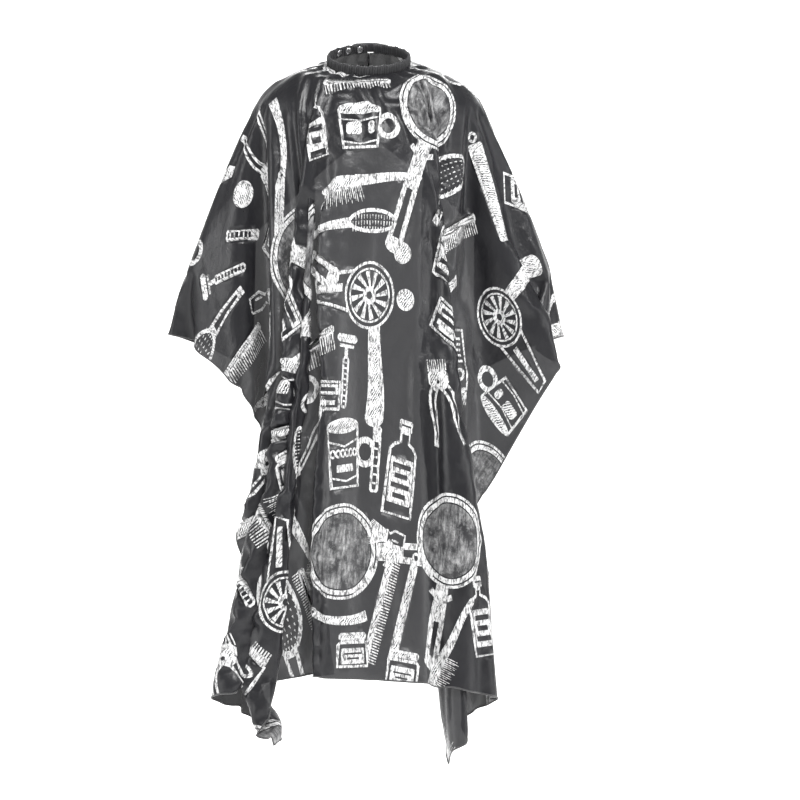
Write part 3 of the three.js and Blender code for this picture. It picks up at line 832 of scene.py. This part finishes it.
def curved_patch(corner, normal, weight):
    """Points of cubic triangle patches through three corners each, square to the corners' normals."""
    p1, p2, p3 = corner
    w1, w2, w3 = (weight[:, k:k + 1] for k in range(3))

    def pull(a, b, n):
        return (2 * a + b - ((b - a) * n).sum(1, keepdims=True) * n) / 3

    n1, n2, n3 = normal
    b210, b120 = pull(p1, p2, n1), pull(p2, p1, n2)
    b021, b012 = pull(p2, p3, n2), pull(p3, p2, n3)
    b102, b201 = pull(p3, p1, n3), pull(p1, p3, n1)
    edges = (b210 + b120 + b021 + b012 + b102 + b201) / 6
    middle = edges + (edges - (p1 + p2 + p3) / 3) / 2
    return (p1 * w1 ** 3 + p2 * w2 ** 3 + p3 * w3 ** 3
            + 3 * (b210 * w1 ** 2 * w2 + b120 * w1 * w2 ** 2 + b021 * w2 ** 2 * w3)
            + 3 * (b012 * w2 * w3 ** 2 + b102 * w1 * w3 ** 2 + b201 * w1 ** 2 * w3)
            + 6 * middle * w1 * w2 * w3)


class Hanging:
    """Finds where a flat point of the cut hangs."""

    def __init__(self, flat, points, triangles):
        self.flat, self.points, self.triangles = flat, points, triangles
        self.normals = vertex_normals(points, triangles)
        lying = [Vector((u, v, 0)) for u, v in flat]
        self.finder = BVHTree.FromPolygons(lying, triangles.tolist())

    def place(self, flat):
        """Where flat points hang. Close to the neck the cloth runs from the band to where it hangs free."""
        points = self.patch(flat)
        run = around_neck(flat)[1]
        near = run < COLLAR_REACH
        if near.any():
            turn = around_neck(flat[near])[0]
            share = np.maximum(run[near] / COLLAR_REACH, 0)[:, None]
            outward = np.stack([np.sin(turn), np.cos(turn)], -1)
            free = self.patch(outward * (HOLE_RADIUS + COLLAR_REACH))
            edge = ring_points(turn) - CLOTH_DROP * BAND_AXIS
            collar = edge + (free - edge) * share
            collar[:, 2] += COLLAR_SWELL * np.sin(math.pi * share[:, 0])
            kept = smooth_share(share, 0.5, 1)
            points[near] = points[near] * kept + collar * (1 - kept)
        return points

    def patch(self, flat):
        """Flat points on the curved patches of the simulated cloth's own triangles."""
        owners = np.array([self.finder.find_nearest(Vector((u, v, 0)))[2] for u, v in flat])
        chosen = self.triangles[owners]
        a, b, c = (self.flat[chosen[:, k]] for k in range(3))
        whole = doubled_area(a, b, c)
        to_b = doubled_area(a, flat, c) / whole
        to_c = doubled_area(a, b, flat) / whole
        weight = np.clip(np.stack([1 - to_b - to_c, to_b, to_c], 1), 0, 1)
        weight /= weight.sum(1, keepdims=True)
        corner = [self.points[chosen[:, k]] for k in range(3)]
        normal = [self.normals[chosen[:, k]] for k in range(3)]
        return curved_patch(corner, normal, weight)


def gathers(flat):
    """How far the sheet's small pleats at the neckband stand out, which fade with distance from it."""
    turn, run = around_neck(flat)
    uneven = 1 + 0.35 * np.sin(7 * turn + 1.3) + 0.25 * np.sin(13 * turn)
    fine = np.sin(GATHER_COUNT * turn + 0.8 * np.sin(5 * turn)) * np.exp(-run / GATHER_REACH)
    broad = 0.9 * np.sin(GATHER_COUNT / 3 * turn + np.sin(3 * turn)) * np.exp(-run / (3 * GATHER_REACH))
    return GATHER_DEPTH * (fine + broad) * uneven * smooth_share(run, 0, 0.004)


def inside(points, outline):
    """Which points lie inside a closed outline."""
    within = np.zeros(len(points), bool)
    for (x1, y1), (x2, y2) in zip(outline, outline[1:] + outline[:1]):
        if y1 != y2:
            crosses = (y1 > points[:, 1]) != (y2 > points[:, 1])
            within ^= crosses & (points[:, 0] < (x2 - x1) * (points[:, 1] - y1) / (y2 - y1) + x1)
    return within


def inks_of(middles, shapes):
    """The ink at each of these flat points: that of the last outline painted over it."""
    order = np.argsort(middles[:, 0])
    sorted_u = middles[order, 0]
    inks = np.full(len(middles), CLOTH)
    for points, ink in shapes:
        corners = np.array(points)
        low, high = corners.min(0), corners.max(0)
        near = order[np.searchsorted(sorted_u, low[0]):np.searchsorted(sorted_u, high[0])]
        near = near[(middles[near, 1] > low[1]) & (middles[near, 1] < high[1])]
        inks[near[inside(middles[near], points)]] = ink
    return inks


def printed_mesh(shapes, hanging):
    """The sheet's mesh with the print's outlines as edges, and the ink of each triangle."""
    outline = cut_outline(FINE_STEP)
    seeds = outline + lattice(FINE_STEP)
    edges = loop_edges(0, len(outline))
    for points, _ in shapes:
        edges += loop_edges(len(seeds), len(points))
        seeds += points
    parts = delaunay_2d_cdt([Vector(p) for p in seeds], edges, [], 0, 1e-6)
    flat = np.array([tuple(p) for p in parts[0]])
    triangles = np.array(parts[2])
    middles = flat[triangles].mean(1)
    areas = doubled_area(*(flat[triangles[:, k]] for k in range(3)))
    kept = inside(middles, outline) & (np.abs(areas) > SLIVER_AREA)
    triangles, middles = triangles[kept], middles[kept]
    inks = inks_of(middles, shapes)
    used = np.unique(triangles)
    renumber = np.full(len(flat), -1)
    renumber[used] = np.arange(len(used))
    flat, triangles = flat[used], renumber[triangles]
    points = hanging.place(flat)
    points += vertex_normals(points, triangles) * gathers(flat)[:, None]
    return flat, points, triangles, inks


# ---- materials -----------------------------------------------------------------------------------------


class Surface:
    """A Principled material with its texture nodes laid out by short calls."""

    def __init__(self, name, **constants):
        self.material = bpy.data.materials.new(name)
        self.material.use_nodes = True
        self.tree = self.material.node_tree
        self.shader = self.tree.nodes["Principled BSDF"]
        for socket, value in constants.items():
            self.shader.inputs[socket.replace("_", " ").title().replace("Ior", "IOR")].default_value = value

    def node(self, kind, inputs=None, **settings):
        item = self.tree.nodes.new(kind)
        for key, value in settings.items():
            setattr(item, key, value)
        for key, value in (inputs or {}).items():
            if isinstance(value, bpy.types.NodeSocket):
                self.tree.links.new(value, item.inputs[key])
            else:
                item.inputs[key].default_value = value
        return item

    def place(self, attribute, stretch=(1, 1, 1), turn=0.0):
        """Coordinates in metres: a point attribute of the mesh, or the object's own if it is None."""
        if attribute:
            source = self.node("ShaderNodeAttribute", attribute_name=attribute).outputs["Vector"]
        else:
            source = self.node("ShaderNodeTexCoord").outputs["Object"]
        inputs = {"Vector": source, "Scale": stretch, "Rotation": (0, 0, turn)}
        return self.node("ShaderNodeMapping", inputs).outputs["Vector"]

    def noise(self, place, scale, detail=3.0, roughness=0.55):
        inputs = {"Vector": place, "Scale": scale, "Detail": detail, "Roughness": roughness}
        return self.node("ShaderNodeTexNoise", inputs).outputs["Fac"]

    def wave(self, place, scale, distortion=0.0, detail=2.0, detail_scale=1.0, direction="X"):
        inputs = {"Vector": place, "Scale": scale, "Distortion": distortion, "Detail": detail}
        inputs["Detail Scale"] = detail_scale
        return self.node("ShaderNodeTexWave", inputs, bands_direction=direction).outputs["Fac"]

    def between(self, value, low, high, start=0.0, end=1.0):
        return self.node("ShaderNodeMapRange", {0: value, 1: low, 2: high, 3: start, 4: end}).outputs[0]

    def maths(self, operation, a, b):
        return self.node("ShaderNodeMath", {0: a, 1: b}, operation=operation).outputs[0]

    def blend(self, share, first, second):
        mix = self.node("ShaderNodeMix", data_type="RGBA")
        for socket, value in ((0, share), (6, first), (7, second)):
            if isinstance(value, bpy.types.NodeSocket):
                self.tree.links.new(value, mix.inputs[socket])
            else:
                mix.inputs[socket].default_value = value if socket == 0 else (*value, 1)
        return mix.outputs[2]

    def to(self, socket, value):
        self.tree.links.new(value, self.shader.inputs[socket])

    def bump(self, height, distance, strength=1.0, below=None):
        inputs = {"Height": height, "Distance": distance, "Strength": strength}
        if below is not None:
            inputs["Normal"] = below
        return self.node("ShaderNodeBump", inputs).outputs["Normal"]


CLOTH_DARK = (0.006, 0.006, 0.007)
CLOTH_PALE = (0.012, 0.012, 0.014)
INK_WHITE = (0.62, 0.62, 0.62)


def cloth_relief(surface):
    """Fine plain weave over the soft crumple of thin taffeta."""
    cut = surface.place("cut")
    crumple = surface.noise(cut, 16, 4, 0.6)
    drawn = surface.noise(surface.place("cut", (1, 0.22, 1)), 26, 3, 0.5)
    soft = surface.bump(crumple, 0.0045, 0.7)
    lines = surface.bump(drawn, 0.0022, 0.7, soft)
    weave = surface.maths("MULTIPLY", surface.wave(cut, 420), surface.wave(cut, 420, direction="Y"))
    return surface.bump(weave, 0.00012, 0.4, lines)


def cloth_colour(surface):
    return surface.blend(surface.noise(surface.place("cut"), 9, 3), CLOTH_DARK, CLOTH_PALE)


def cloth_material():
    """Thin glossy taffeta that lets a very little light through."""
    surface = Surface(
        "cape_taffeta", alpha=0.976, sheen_weight=0.03, sheen_roughness=0.35, specular_ior_level=0.27)
    patches = surface.noise(surface.place("cut"), 30, 3)
    surface.to("Base Color", cloth_colour(surface))
    surface.to("Roughness", surface.between(patches, 0.2, 0.8, 0.26, 0.38))
    surface.to("Normal", cloth_relief(surface))
    return surface.material


def shaded(colour, share):
    return tuple(share * c for c in colour)


def print_material(name, cover):
    """White ink, worn to the cloth where cover, from 0 to 1 over the flat cut, is low."""
    surface = Surface(name, alpha=0.985, specular_ior_level=0.4, sheen_weight=0.1, sheen_roughness=0.4)
    share = cover(surface)
    tone = surface.noise(surface.place("cut"), 60, 3)
    ink = surface.blend(tone, shaded(INK_WHITE, 0.62), INK_WHITE)
    surface.to("Base Color", surface.blend(share, cloth_colour(surface), ink))
    surface.to("Roughness", surface.between(share, 0, 1, 0.4, 0.6))
    surface.to("Normal", cloth_relief(surface))
    return surface.material


def solid_cover(surface):
    """Solid ink, scratched and worn in patches, but never gone."""
    scratches = surface.noise(surface.place("cut", (1, 0.25, 1), 0.5), 300, 3, 0.7)
    patches = surface.noise(surface.place("cut"), 75, 4, 0.7)
    scratched, patchy = surface.between(scratches, 0.40, 0.52), surface.between(patches, 0.36, 0.46)
    wear_and_sheen = surface.maths("MINIMUM", scratched, patchy)
    return surface.maths("MAXIMUM", wear_and_sheen, 0.12)


def hatched_cover(surface):
    """Engraved hatching: broken slanting lines with patches of solid ink."""
    lines = surface.wave(surface.place("cut", (1, 1, 1), 0.6), 74, 5.0, 2.0, 3.0)
    patches = surface.noise(surface.place("cut"), 46, 3, 0.6)
    hatching, solid = surface.between(lines, 0.30, 0.55), surface.between(patches, 0.50, 0.62)
    return surface.maths("MAXIMUM", hatching, solid)


def glass_cover(surface):
    """Looking-glass: grey mottling crossed by slanting scratches."""
    clouds = surface.noise(surface.place("cut"), 26, 6, 0.75)
    strokes = surface.noise(surface.place("cut", (1, 0.22, 1), -0.75), 150, 4, 0.75)
    mottled, scratched = surface.between(clouds, 0.42, 0.70), surface.between(strokes, 0.36, 0.66)
    both = surface.maths("MULTIPLY", mottled, scratched)
    return surface.maths("MULTIPLY", both, 0.85)


def thread_material(name, colour, pitch):
    """Wound or stitched thread: slanting turns along a piece whose length is in its run attribute."""
    surface = Surface(name, roughness=0.62, sheen_weight=0.3, sheen_roughness=0.5)
    run = surface.place("run")
    turns = surface.wave(run, 0.32 / pitch, 1.5, 2.0, 2.0)
    # Painted shade: the colour is half as bright in the grooves between the turns, where the bump is low.
    surface.to("Base Color", surface.blend(turns, shaded(colour, 0.5), colour))
    surface.to("Normal", surface.bump(turns, 0.0004, 0.8))
    return surface.material


def ribbed_material(name, colour, scale):
    """Woven webbing: ribs along the strip crossed by finer threads."""
    surface = Surface(name, roughness=0.85, sheen_weight=0.25, sheen_roughness=0.5)
    place = surface.place(None)
    ribs = surface.wave(place, scale, 0.6, 2.0, 4.0, "Z")
    weave = surface.maths("MULTIPLY", ribs, surface.wave(place, scale * 0.7, 0.4))
    # Painted shade: the colour is darker in the low places of the weave, between the ribs and threads.
    surface.to("Base Color", surface.blend(weave, shaded(colour, 0.55), colour))
    surface.to("Normal", surface.bump(weave, 0.0003, 0.7))
    return surface.material


def nickel_material():
    surface = Surface("nickel_plate", metallic=1.0, coat_weight=0.15, coat_roughness=0.1)
    place = surface.place(None)
    wear = surface.noise(place, 900, 4, 0.6)
    surface.to("Base Color", surface.blend(wear, (0.50, 0.50, 0.51), (0.74, 0.74, 0.76)))
    surface.to("Roughness", surface.between(wear, 0.3, 0.7, 0.16, 0.36))
    surface.to("Normal", surface.bump(surface.noise(place, 2400, 2), 0.00004, 0.5))
    return surface.material


def band_material():
    """Dark crushed cloth over elastic, paler on the crests of its pleats: a painted sheen where they catch
    the light.
    """
    surface = Surface("neckband_cloth", sheen_weight=0.10, sheen_roughness=0.45, specular_ior_level=0.35)
    place = surface.place(None)
    fine = surface.noise(place, 700, 4, 0.6)
    ridge = surface.node("ShaderNodeNewGeometry").outputs["Pointiness"]
    # Painted sheen: the cloth is painted paler where the surface is most convex, on the pleats' crests.
    wear_and_sheen = surface.between(ridge, 0.50, 0.58)
    surface.to("Base Color", surface.blend(wear_and_sheen, (0.006, 0.006, 0.007), (0.042, 0.042, 0.045)))
    surface.to("Roughness", surface.between(fine, 0.3, 0.7, 0.45, 0.65))
    surface.to("Normal", surface.bump(fine, 0.0003, 0.6))
    return surface.material


# ---- pieces --------------------------------------------------------------------------------------------

HEM_RADIUS = 0.0014
BINDING_RADIUS = 0.0016
HEM_STEP = 0.006
HEM_INSET = 0.0006
CASING_START, CASING_END = math.radians(6), math.radians(358)
PLEAT_PITCH = 0.0042
PLEAT_DEPTH = 0.0013
PLEAT_STEPS = 7


def finished(name, points, faces, material, body, slot, *nodes):
    """A smooth piece that rides on a body and stands for CAD nodes."""
    mesh = bpy.data.meshes.new(name)
    mesh.from_pydata(np.asarray(points).tolist(), [], faces)
    mesh.polygons.foreach_set("use_smooth", [True] * len(mesh.polygons))
    mesh.materials.append(material)
    piece = add_object(name, mesh)
    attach(piece, body)
    if nodes:
        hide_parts(*nodes)
    return piece


def add_vector(mesh, name, values):
    attribute = mesh.attributes.new(name, "FLOAT_VECTOR", "POINT")
    attribute.data.foreach_set("vector", np.asarray(values, np.float32).ravel())


def make_sheet(hanging):
    flat, points, triangles, inks = printed_mesh(print_shapes(), hanging)
    faces = triangles.tolist()
    sheet = finished("cape_sheet", points, faces, cloth_material(), "cape", "cape_fabric", "cape_panel")
    sheet.data.materials.append(print_material("print_ink", solid_cover))
    sheet.data.materials.append(print_material("print_hatching", hatched_cover))
    sheet.data.materials.append(print_material("print_glass", glass_cover))
    sheet.data.polygons.foreach_set("material_index", [int(ink) for ink in inks])
    add_vector(sheet.data, "cut", np.column_stack([flat, np.zeros(len(flat))]))
    return sheet


def tube_along(centres, radius, sides=7):
    """Points, faces and the run along it of a closed-ended tube."""
    tangents = np.gradient(centres, axis=0)
    tangents /= np.maximum(np.linalg.norm(tangents, axis=1, keepdims=True), 1e-9)
    side = np.cross(tangents[0], (0.3, 0.5, 0.8))
    length = np.concatenate([[0], np.cumsum(np.linalg.norm(np.diff(centres, axis=0), axis=1))])
    points, runs = [], []
    for k, (centre, tangent) in enumerate(zip(centres, tangents)):
        side = side - tangent * (side @ tangent)
        side /= np.linalg.norm(side)
        other = np.cross(tangent, side)
        size = radius * (0.35 if k in (0, len(centres) - 1) else 1)
        for j in range(sides):
            turn = math.tau * j / sides
            points.append(centre + size * (math.cos(turn) * side + math.sin(turn) * other))
            runs.append((length[k], radius * math.sin(turn), 0))
    return points, closed_faces(len(centres), sides), runs


def make_hem(name, a, b, hanging, material, radius):
    """A rolled edge that follows the hanging sheet from flat point a to b."""
    flat = np.array(spaced(a, b, HEM_STEP) + [b])
    points, faces, runs = tube_along(hanging.place(flat), radius)
    hem = finished(name + "_roll", points, faces, material, "cape", "hem_thread", name)
    add_vector(hem.data, "run", runs)
    return hem


def make_hems(hanging):
    thread = thread_material("hem_overlock", (0.020, 0.020, 0.021), 0.0016)
    binding = thread_material("slit_binding", (0.024, 0.024, 0.026), 0.0024)
    u, front, back = HALF_WIDTH - HEM_INSET, -TO_FRONT_EDGE + HEM_INSET, TO_BACK_EDGE - HEM_INSET
    slit = SLIT_HALF_WIDTH
    edges = {
        "hem_front": ((-u, front), (u, front)), "hem_left": ((u, front), (u, back)),
        "hem_right": ((-u, front), (-u, back)), "hem_back_left": ((slit, back), (u, back)),
        "hem_back_right": ((-u, back), (-slit, back)),
    }
    hems = [make_hem(name, a, b, hanging, thread, HEM_RADIUS) for name, (a, b) in edges.items()]
    for name, side in (("slit_binding_left", 1), ("slit_binding_right", -1)):
        a, b = (side * slit, HOLE_RADIUS + 0.002), (side * slit, back)
        hems.append(make_hem(name, a, b, hanging, binding, BINDING_RADIUS))
    return hems


def band_frame(turn, outward):
    """A point on the band's leaning ring, moved outward, square to the ring."""
    across, along = BAND_HALF_WIDTH * math.sin(turn), BAND_HALF_DEPTH * math.cos(turn)
    nx, ny = BAND_HALF_DEPTH * math.sin(turn), BAND_HALF_WIDTH * math.cos(turn)
    size = math.hypot(nx, ny)
    x, y = across + outward * nx / size, along + outward * ny / size
    return np.array([x, y * math.cos(BAND_LEAN), y * math.sin(BAND_LEAN)])


def band_strip(start, end, steps, section):
    """A closed strip along the band: section(share, turn) gives its outline as (outward, height) pairs."""
    points = []
    for k in range(steps + 1):
        turn = start + (end - start) * k / steps
        outline = section(k / steps, turn)
        points += [band_frame(turn, outward) + height * BAND_AXIS for outward, height in outline]
    return points, closed_faces(steps + 1, len(outline), turned=True)


def rounded(half_thickness, half_height, sides, squareness=3.2):
    """A section's outline as (outward, height, cosine, sine), where the last two say which way it faces."""
    outline = []
    for j in range(sides):
        turn = math.tau * j / sides
        height, outward = squircle(turn, half_height, half_thickness, squareness)
        outline.append((outward, height, math.cos(turn), math.sin(turn)))
    return outline


def make_neckband():
    """The casing, drawn up by the elastic into uneven pleats with a frilled edge."""
    length = (CASING_END - CASING_START) * (BAND_HALF_WIDTH + BAND_HALF_DEPTH) / 2
    pleats = round(length / PLEAT_PITCH)

    def section(share, turn):
        pulled = 1 if 0 < share < 1 else 0.5
        outline = []
        for outward, height, c, s in rounded(BAND_THICKNESS / 2, BAND_HEIGHT / 2, 36):
            wander = 0.5 * math.sin(11 * turn) + 0.35 * math.sin(29 * turn + 1.0)
            phase = math.tau * pleats * share + 1.3 * s + 1.2 * wander
            crease = abs(math.sin(phase / 2)) ** 0.6 - 0.55
            swell = 0.25 * math.sin(phase * 0.37 + 2 * s)
            rise = PLEAT_DEPTH * (crease + swell)
            frill = 0.0010 * math.sin(phase + 1.0) + 0.0007 * math.sin(19 * turn)
            outline.append(((outward + rise * c) * pulled, (height + (rise + frill) * s * abs(s)) * pulled))
        return outline

    points, faces = band_strip(CASING_START, CASING_END, pleats * PLEAT_STEPS, section)
    return finished("neckband", points, faces, band_material(), "cape", "band_fabric", "neckband_casing")


TAB_ROOT, TAB_RAMP_END, TAB_TIP = math.radians(22), math.radians(8), math.radians(-23)
TAB_THICKNESS = 0.0034
TAB_MIDDLE = 0.0092
TAB_ROOT_MIDDLE = 0.0045
TAB_STEPS = 132
STITCH_COUNT = 20
PUCKER_COUNT = 22
STITCH_START, STITCH_PITCH, STITCH_LENGTH = -17, 1.9, 1.35
STITCH_INSET = 0.0022
STITCH_RADIUS = 0.00028
STITCH_RISE = 0.00016


def tab_outward(turn):
    """How far outside the band's ring the tab's middle runs, from its root to over the studs."""
    share = min(1, max(0, (turn - TAB_RAMP_END) / (TAB_ROOT - TAB_RAMP_END)))
    return TAB_MIDDLE + (TAB_ROOT_MIDDLE - TAB_MIDDLE) * share * share * (3 - 2 * share)


def make_tab():
    """The closing tab: a flat folded strip with a rounded tip, drawn in a little at its rows of stitches."""
    def section(share, turn):
        tip = min(1, share / 0.16)
        half_height = BAND_HEIGHT / 2 * (0.45 + 0.55 * math.sqrt(max(0.0, 1 - (1 - tip) ** 2)))
        end = 0.55 if share in (0, 1) else 1
        outline = []
        for outward, height, c, s in rounded(TAB_THICKNESS / 2, half_height, 32, 3.6):
            near_edge = abs(abs(height) - (half_height - STITCH_INSET)) / 0.0009
            pull = 0.6 + 0.4 * math.cos(math.tau * share * PUCKER_COUNT)
            dimple = -0.00028 * math.exp(-near_edge ** 2) * pull
            pucker = 0.00016 * math.sin(math.tau * share * PUCKER_COUNT + 3 * s)
            outline.append((tab_outward(turn) + (outward + (dimple + pucker) * c) * end, height))
        return outline

    points, faces = band_strip(TAB_TIP, TAB_ROOT, TAB_STEPS, section)
    surface = Surface("tab_cloth", sheen_weight=0.3, sheen_roughness=0.4, specular_ior_level=0.5)
    place = surface.place(None)
    grain = surface.wave(place, 700, 0.5, 1.0, 3.0, "Z")
    surface.to("Base Color", surface.blend(surface.noise(place, 160, 3), CLOTH_DARK, (0.035, 0.035, 0.038)))
    surface.to("Roughness", surface.between(surface.noise(place, 300, 3), 0.2, 0.8, 0.4, 0.55))
    surface.to("Normal", surface.bump(grain, 0.0001, 0.5))
    cloth = surface.material
    return finished("closing_tab_cloth", points, faces, cloth, "closing_tab", "band_fabric", "snap_tab")


def make_tab_stitches():
    """Two rows of lockstitch on the tab's face."""
    thread = thread_material("tab_thread", (0.05, 0.05, 0.052), 0.0006)
    points, faces, runs = [], [], []
    for row in (-1, 1):
        height = row * (BAND_HEIGHT / 2 - STITCH_INSET)
        for k in range(STITCH_COUNT):
            start = STITCH_START + k * STITCH_PITCH
            centres = []
            for turn, rise in zip(np.radians(np.linspace(start, start + STITCH_LENGTH, 4)), (0, 1, 1, 0)):
                outward = tab_outward(turn) + TAB_THICKNESS / 2 + 0.00002 + rise * STITCH_RISE
                centres.append(band_frame(turn, outward) + height * BAND_AXIS)
            stitch, sides, run = tube_along(np.array(centres), STITCH_RADIUS, 6)
            first = len(points)
            points += stitch
            runs += run
            faces += [tuple(first + corner for corner in face) for face in sides]
    stitches = finished("tab_stitches", points, faces, thread, "closing_tab", "hem_thread")
    add_vector(stitches.data, "run", runs)
    return stitches


def snap_piece(name, turn, outward, profile, material, body):
    """A turned part of a snap: its profile of (radius, depth) pairs spun about the band's outward line."""
    sides = 40
    centre = band_frame(turn, outward)
    axis = band_frame(turn, outward + 0.001) - centre
    axis /= np.linalg.norm(axis)
    side = np.cross(axis, BAND_AXIS)
    up = np.cross(side, axis)
    points = []
    for radius, depth in profile:
        for j in range(sides):
            t = math.tau * j / sides
            points.append(centre + axis * depth + max(radius, 1e-5) * (math.cos(t) * side + math.sin(t) * up))
    faces = closed_faces(len(profile), sides)
    return finished(name + "_metal", points, faces, material, body, "snap_metal", name)


STUD_TURNS = [math.radians(-14), math.radians(-32), math.radians(-50)]
FIT_GAP = 0.0003
BAND_FACE = BAND_THICKNESS / 2
TAB_WALL = 0.0009


def in_metres(profile):
    """A snap's turned profile of (radius, depth), drawn in millimetres."""
    return [(radius / 1000, depth / 1000) for radius, depth in profile]


def make_snaps(nickel):
    stud = in_metres([
        (1.5, 0), (5.3, 0), (5.55, 0.12), (5.6, 0.35), (5.45, 0.62), (5.0, 0.8), (4.5, 0.72), (3.6, 0.7),
        (2.5, 0.74), (1.95, 0.95), (1.75, 1.3), (1.85, 1.7), (2.0, 2.05), (1.98, 2.4), (1.7, 2.68),
        (1.1, 2.8), (0, 2.8),
    ])
    post = in_metres([
        (0, -0.9), (3.8, -0.85), (4.9, -0.7), (5.5, -0.4), (5.6, -0.2), (5.4, 0), (1.4, 0),
        (1.38, 1.0), (0, 1.0),
    ])
    for number, turn in enumerate(STUD_TURNS, 1):
        snap_piece(f"snap_stud_{number}", turn, BAND_FACE + FIT_GAP, stud, nickel, "cape")
        snap_piece(f"snap_post_{number}", turn, -BAND_FACE - FIT_GAP, post, nickel, "cape")
    cap = in_metres([
        (0, -3.4), (1.35, -3.4), (1.4, -3.2), (1.4, 0), (5.4, 0), (5.8, 0.1), (6.0, 0.4), (5.85, 0.7),
        (5.3, 1.0), (4.6, 1.2), (4.3, 1.12), (4.0, 1.2), (2.6, 1.48), (1.2, 1.58), (0, 1.6),
    ])
    cap_face = TAB_MIDDLE + TAB_THICKNESS / 2 + FIT_GAP
    snap_piece("snap_cap", STUD_TURNS[0], cap_face, cap, nickel, "closing_tab")
    socket = in_metres([
        (2.85, 0.15), (3.0, 0), (4.2, 0), (4.6, 0.15), (5.0, 0.5), (5.3, 1.1), (5.25, 1.6), (5.05, 2.2),
        (1.6, 2.2), (1.7, 2.1), (2.75, 2.1), (2.8, 1.0), (2.8, 0.4),
    ])
    socket_face = BAND_FACE + 2 * FIT_GAP + TAB_WALL
    snap_piece("snap_socket", STUD_TURNS[0], socket_face, socket, nickel, "closing_tab")


def finish_cad_strips():
    """The strips inside the cloth keep their CAD shape and get woven finishes."""
    woven = {
        "neck_elastic": ribbed_material("elastic_webbing", (0.030, 0.030, 0.031), 420),
        "stud_tape": ribbed_material("stud_tape_weave", (0.045, 0.045, 0.048), 520),
        "tab_tape": ribbed_material("tab_tape_weave", (0.045, 0.045, 0.048), 520),
    }
    for name, material in woven.items():
        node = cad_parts[name]
        for place in node.material_slots:
            place.material = material


flat_cut, hung, triangles = drape()
hanging = Hanging(flat_cut, dress(hung, triangles), triangles)
sheet = make_sheet(hanging)
hems = make_hems(hanging)
make_neckband()
make_tab()
make_tab_stitches()
make_snaps(nickel_material())
finish_cad_strips()
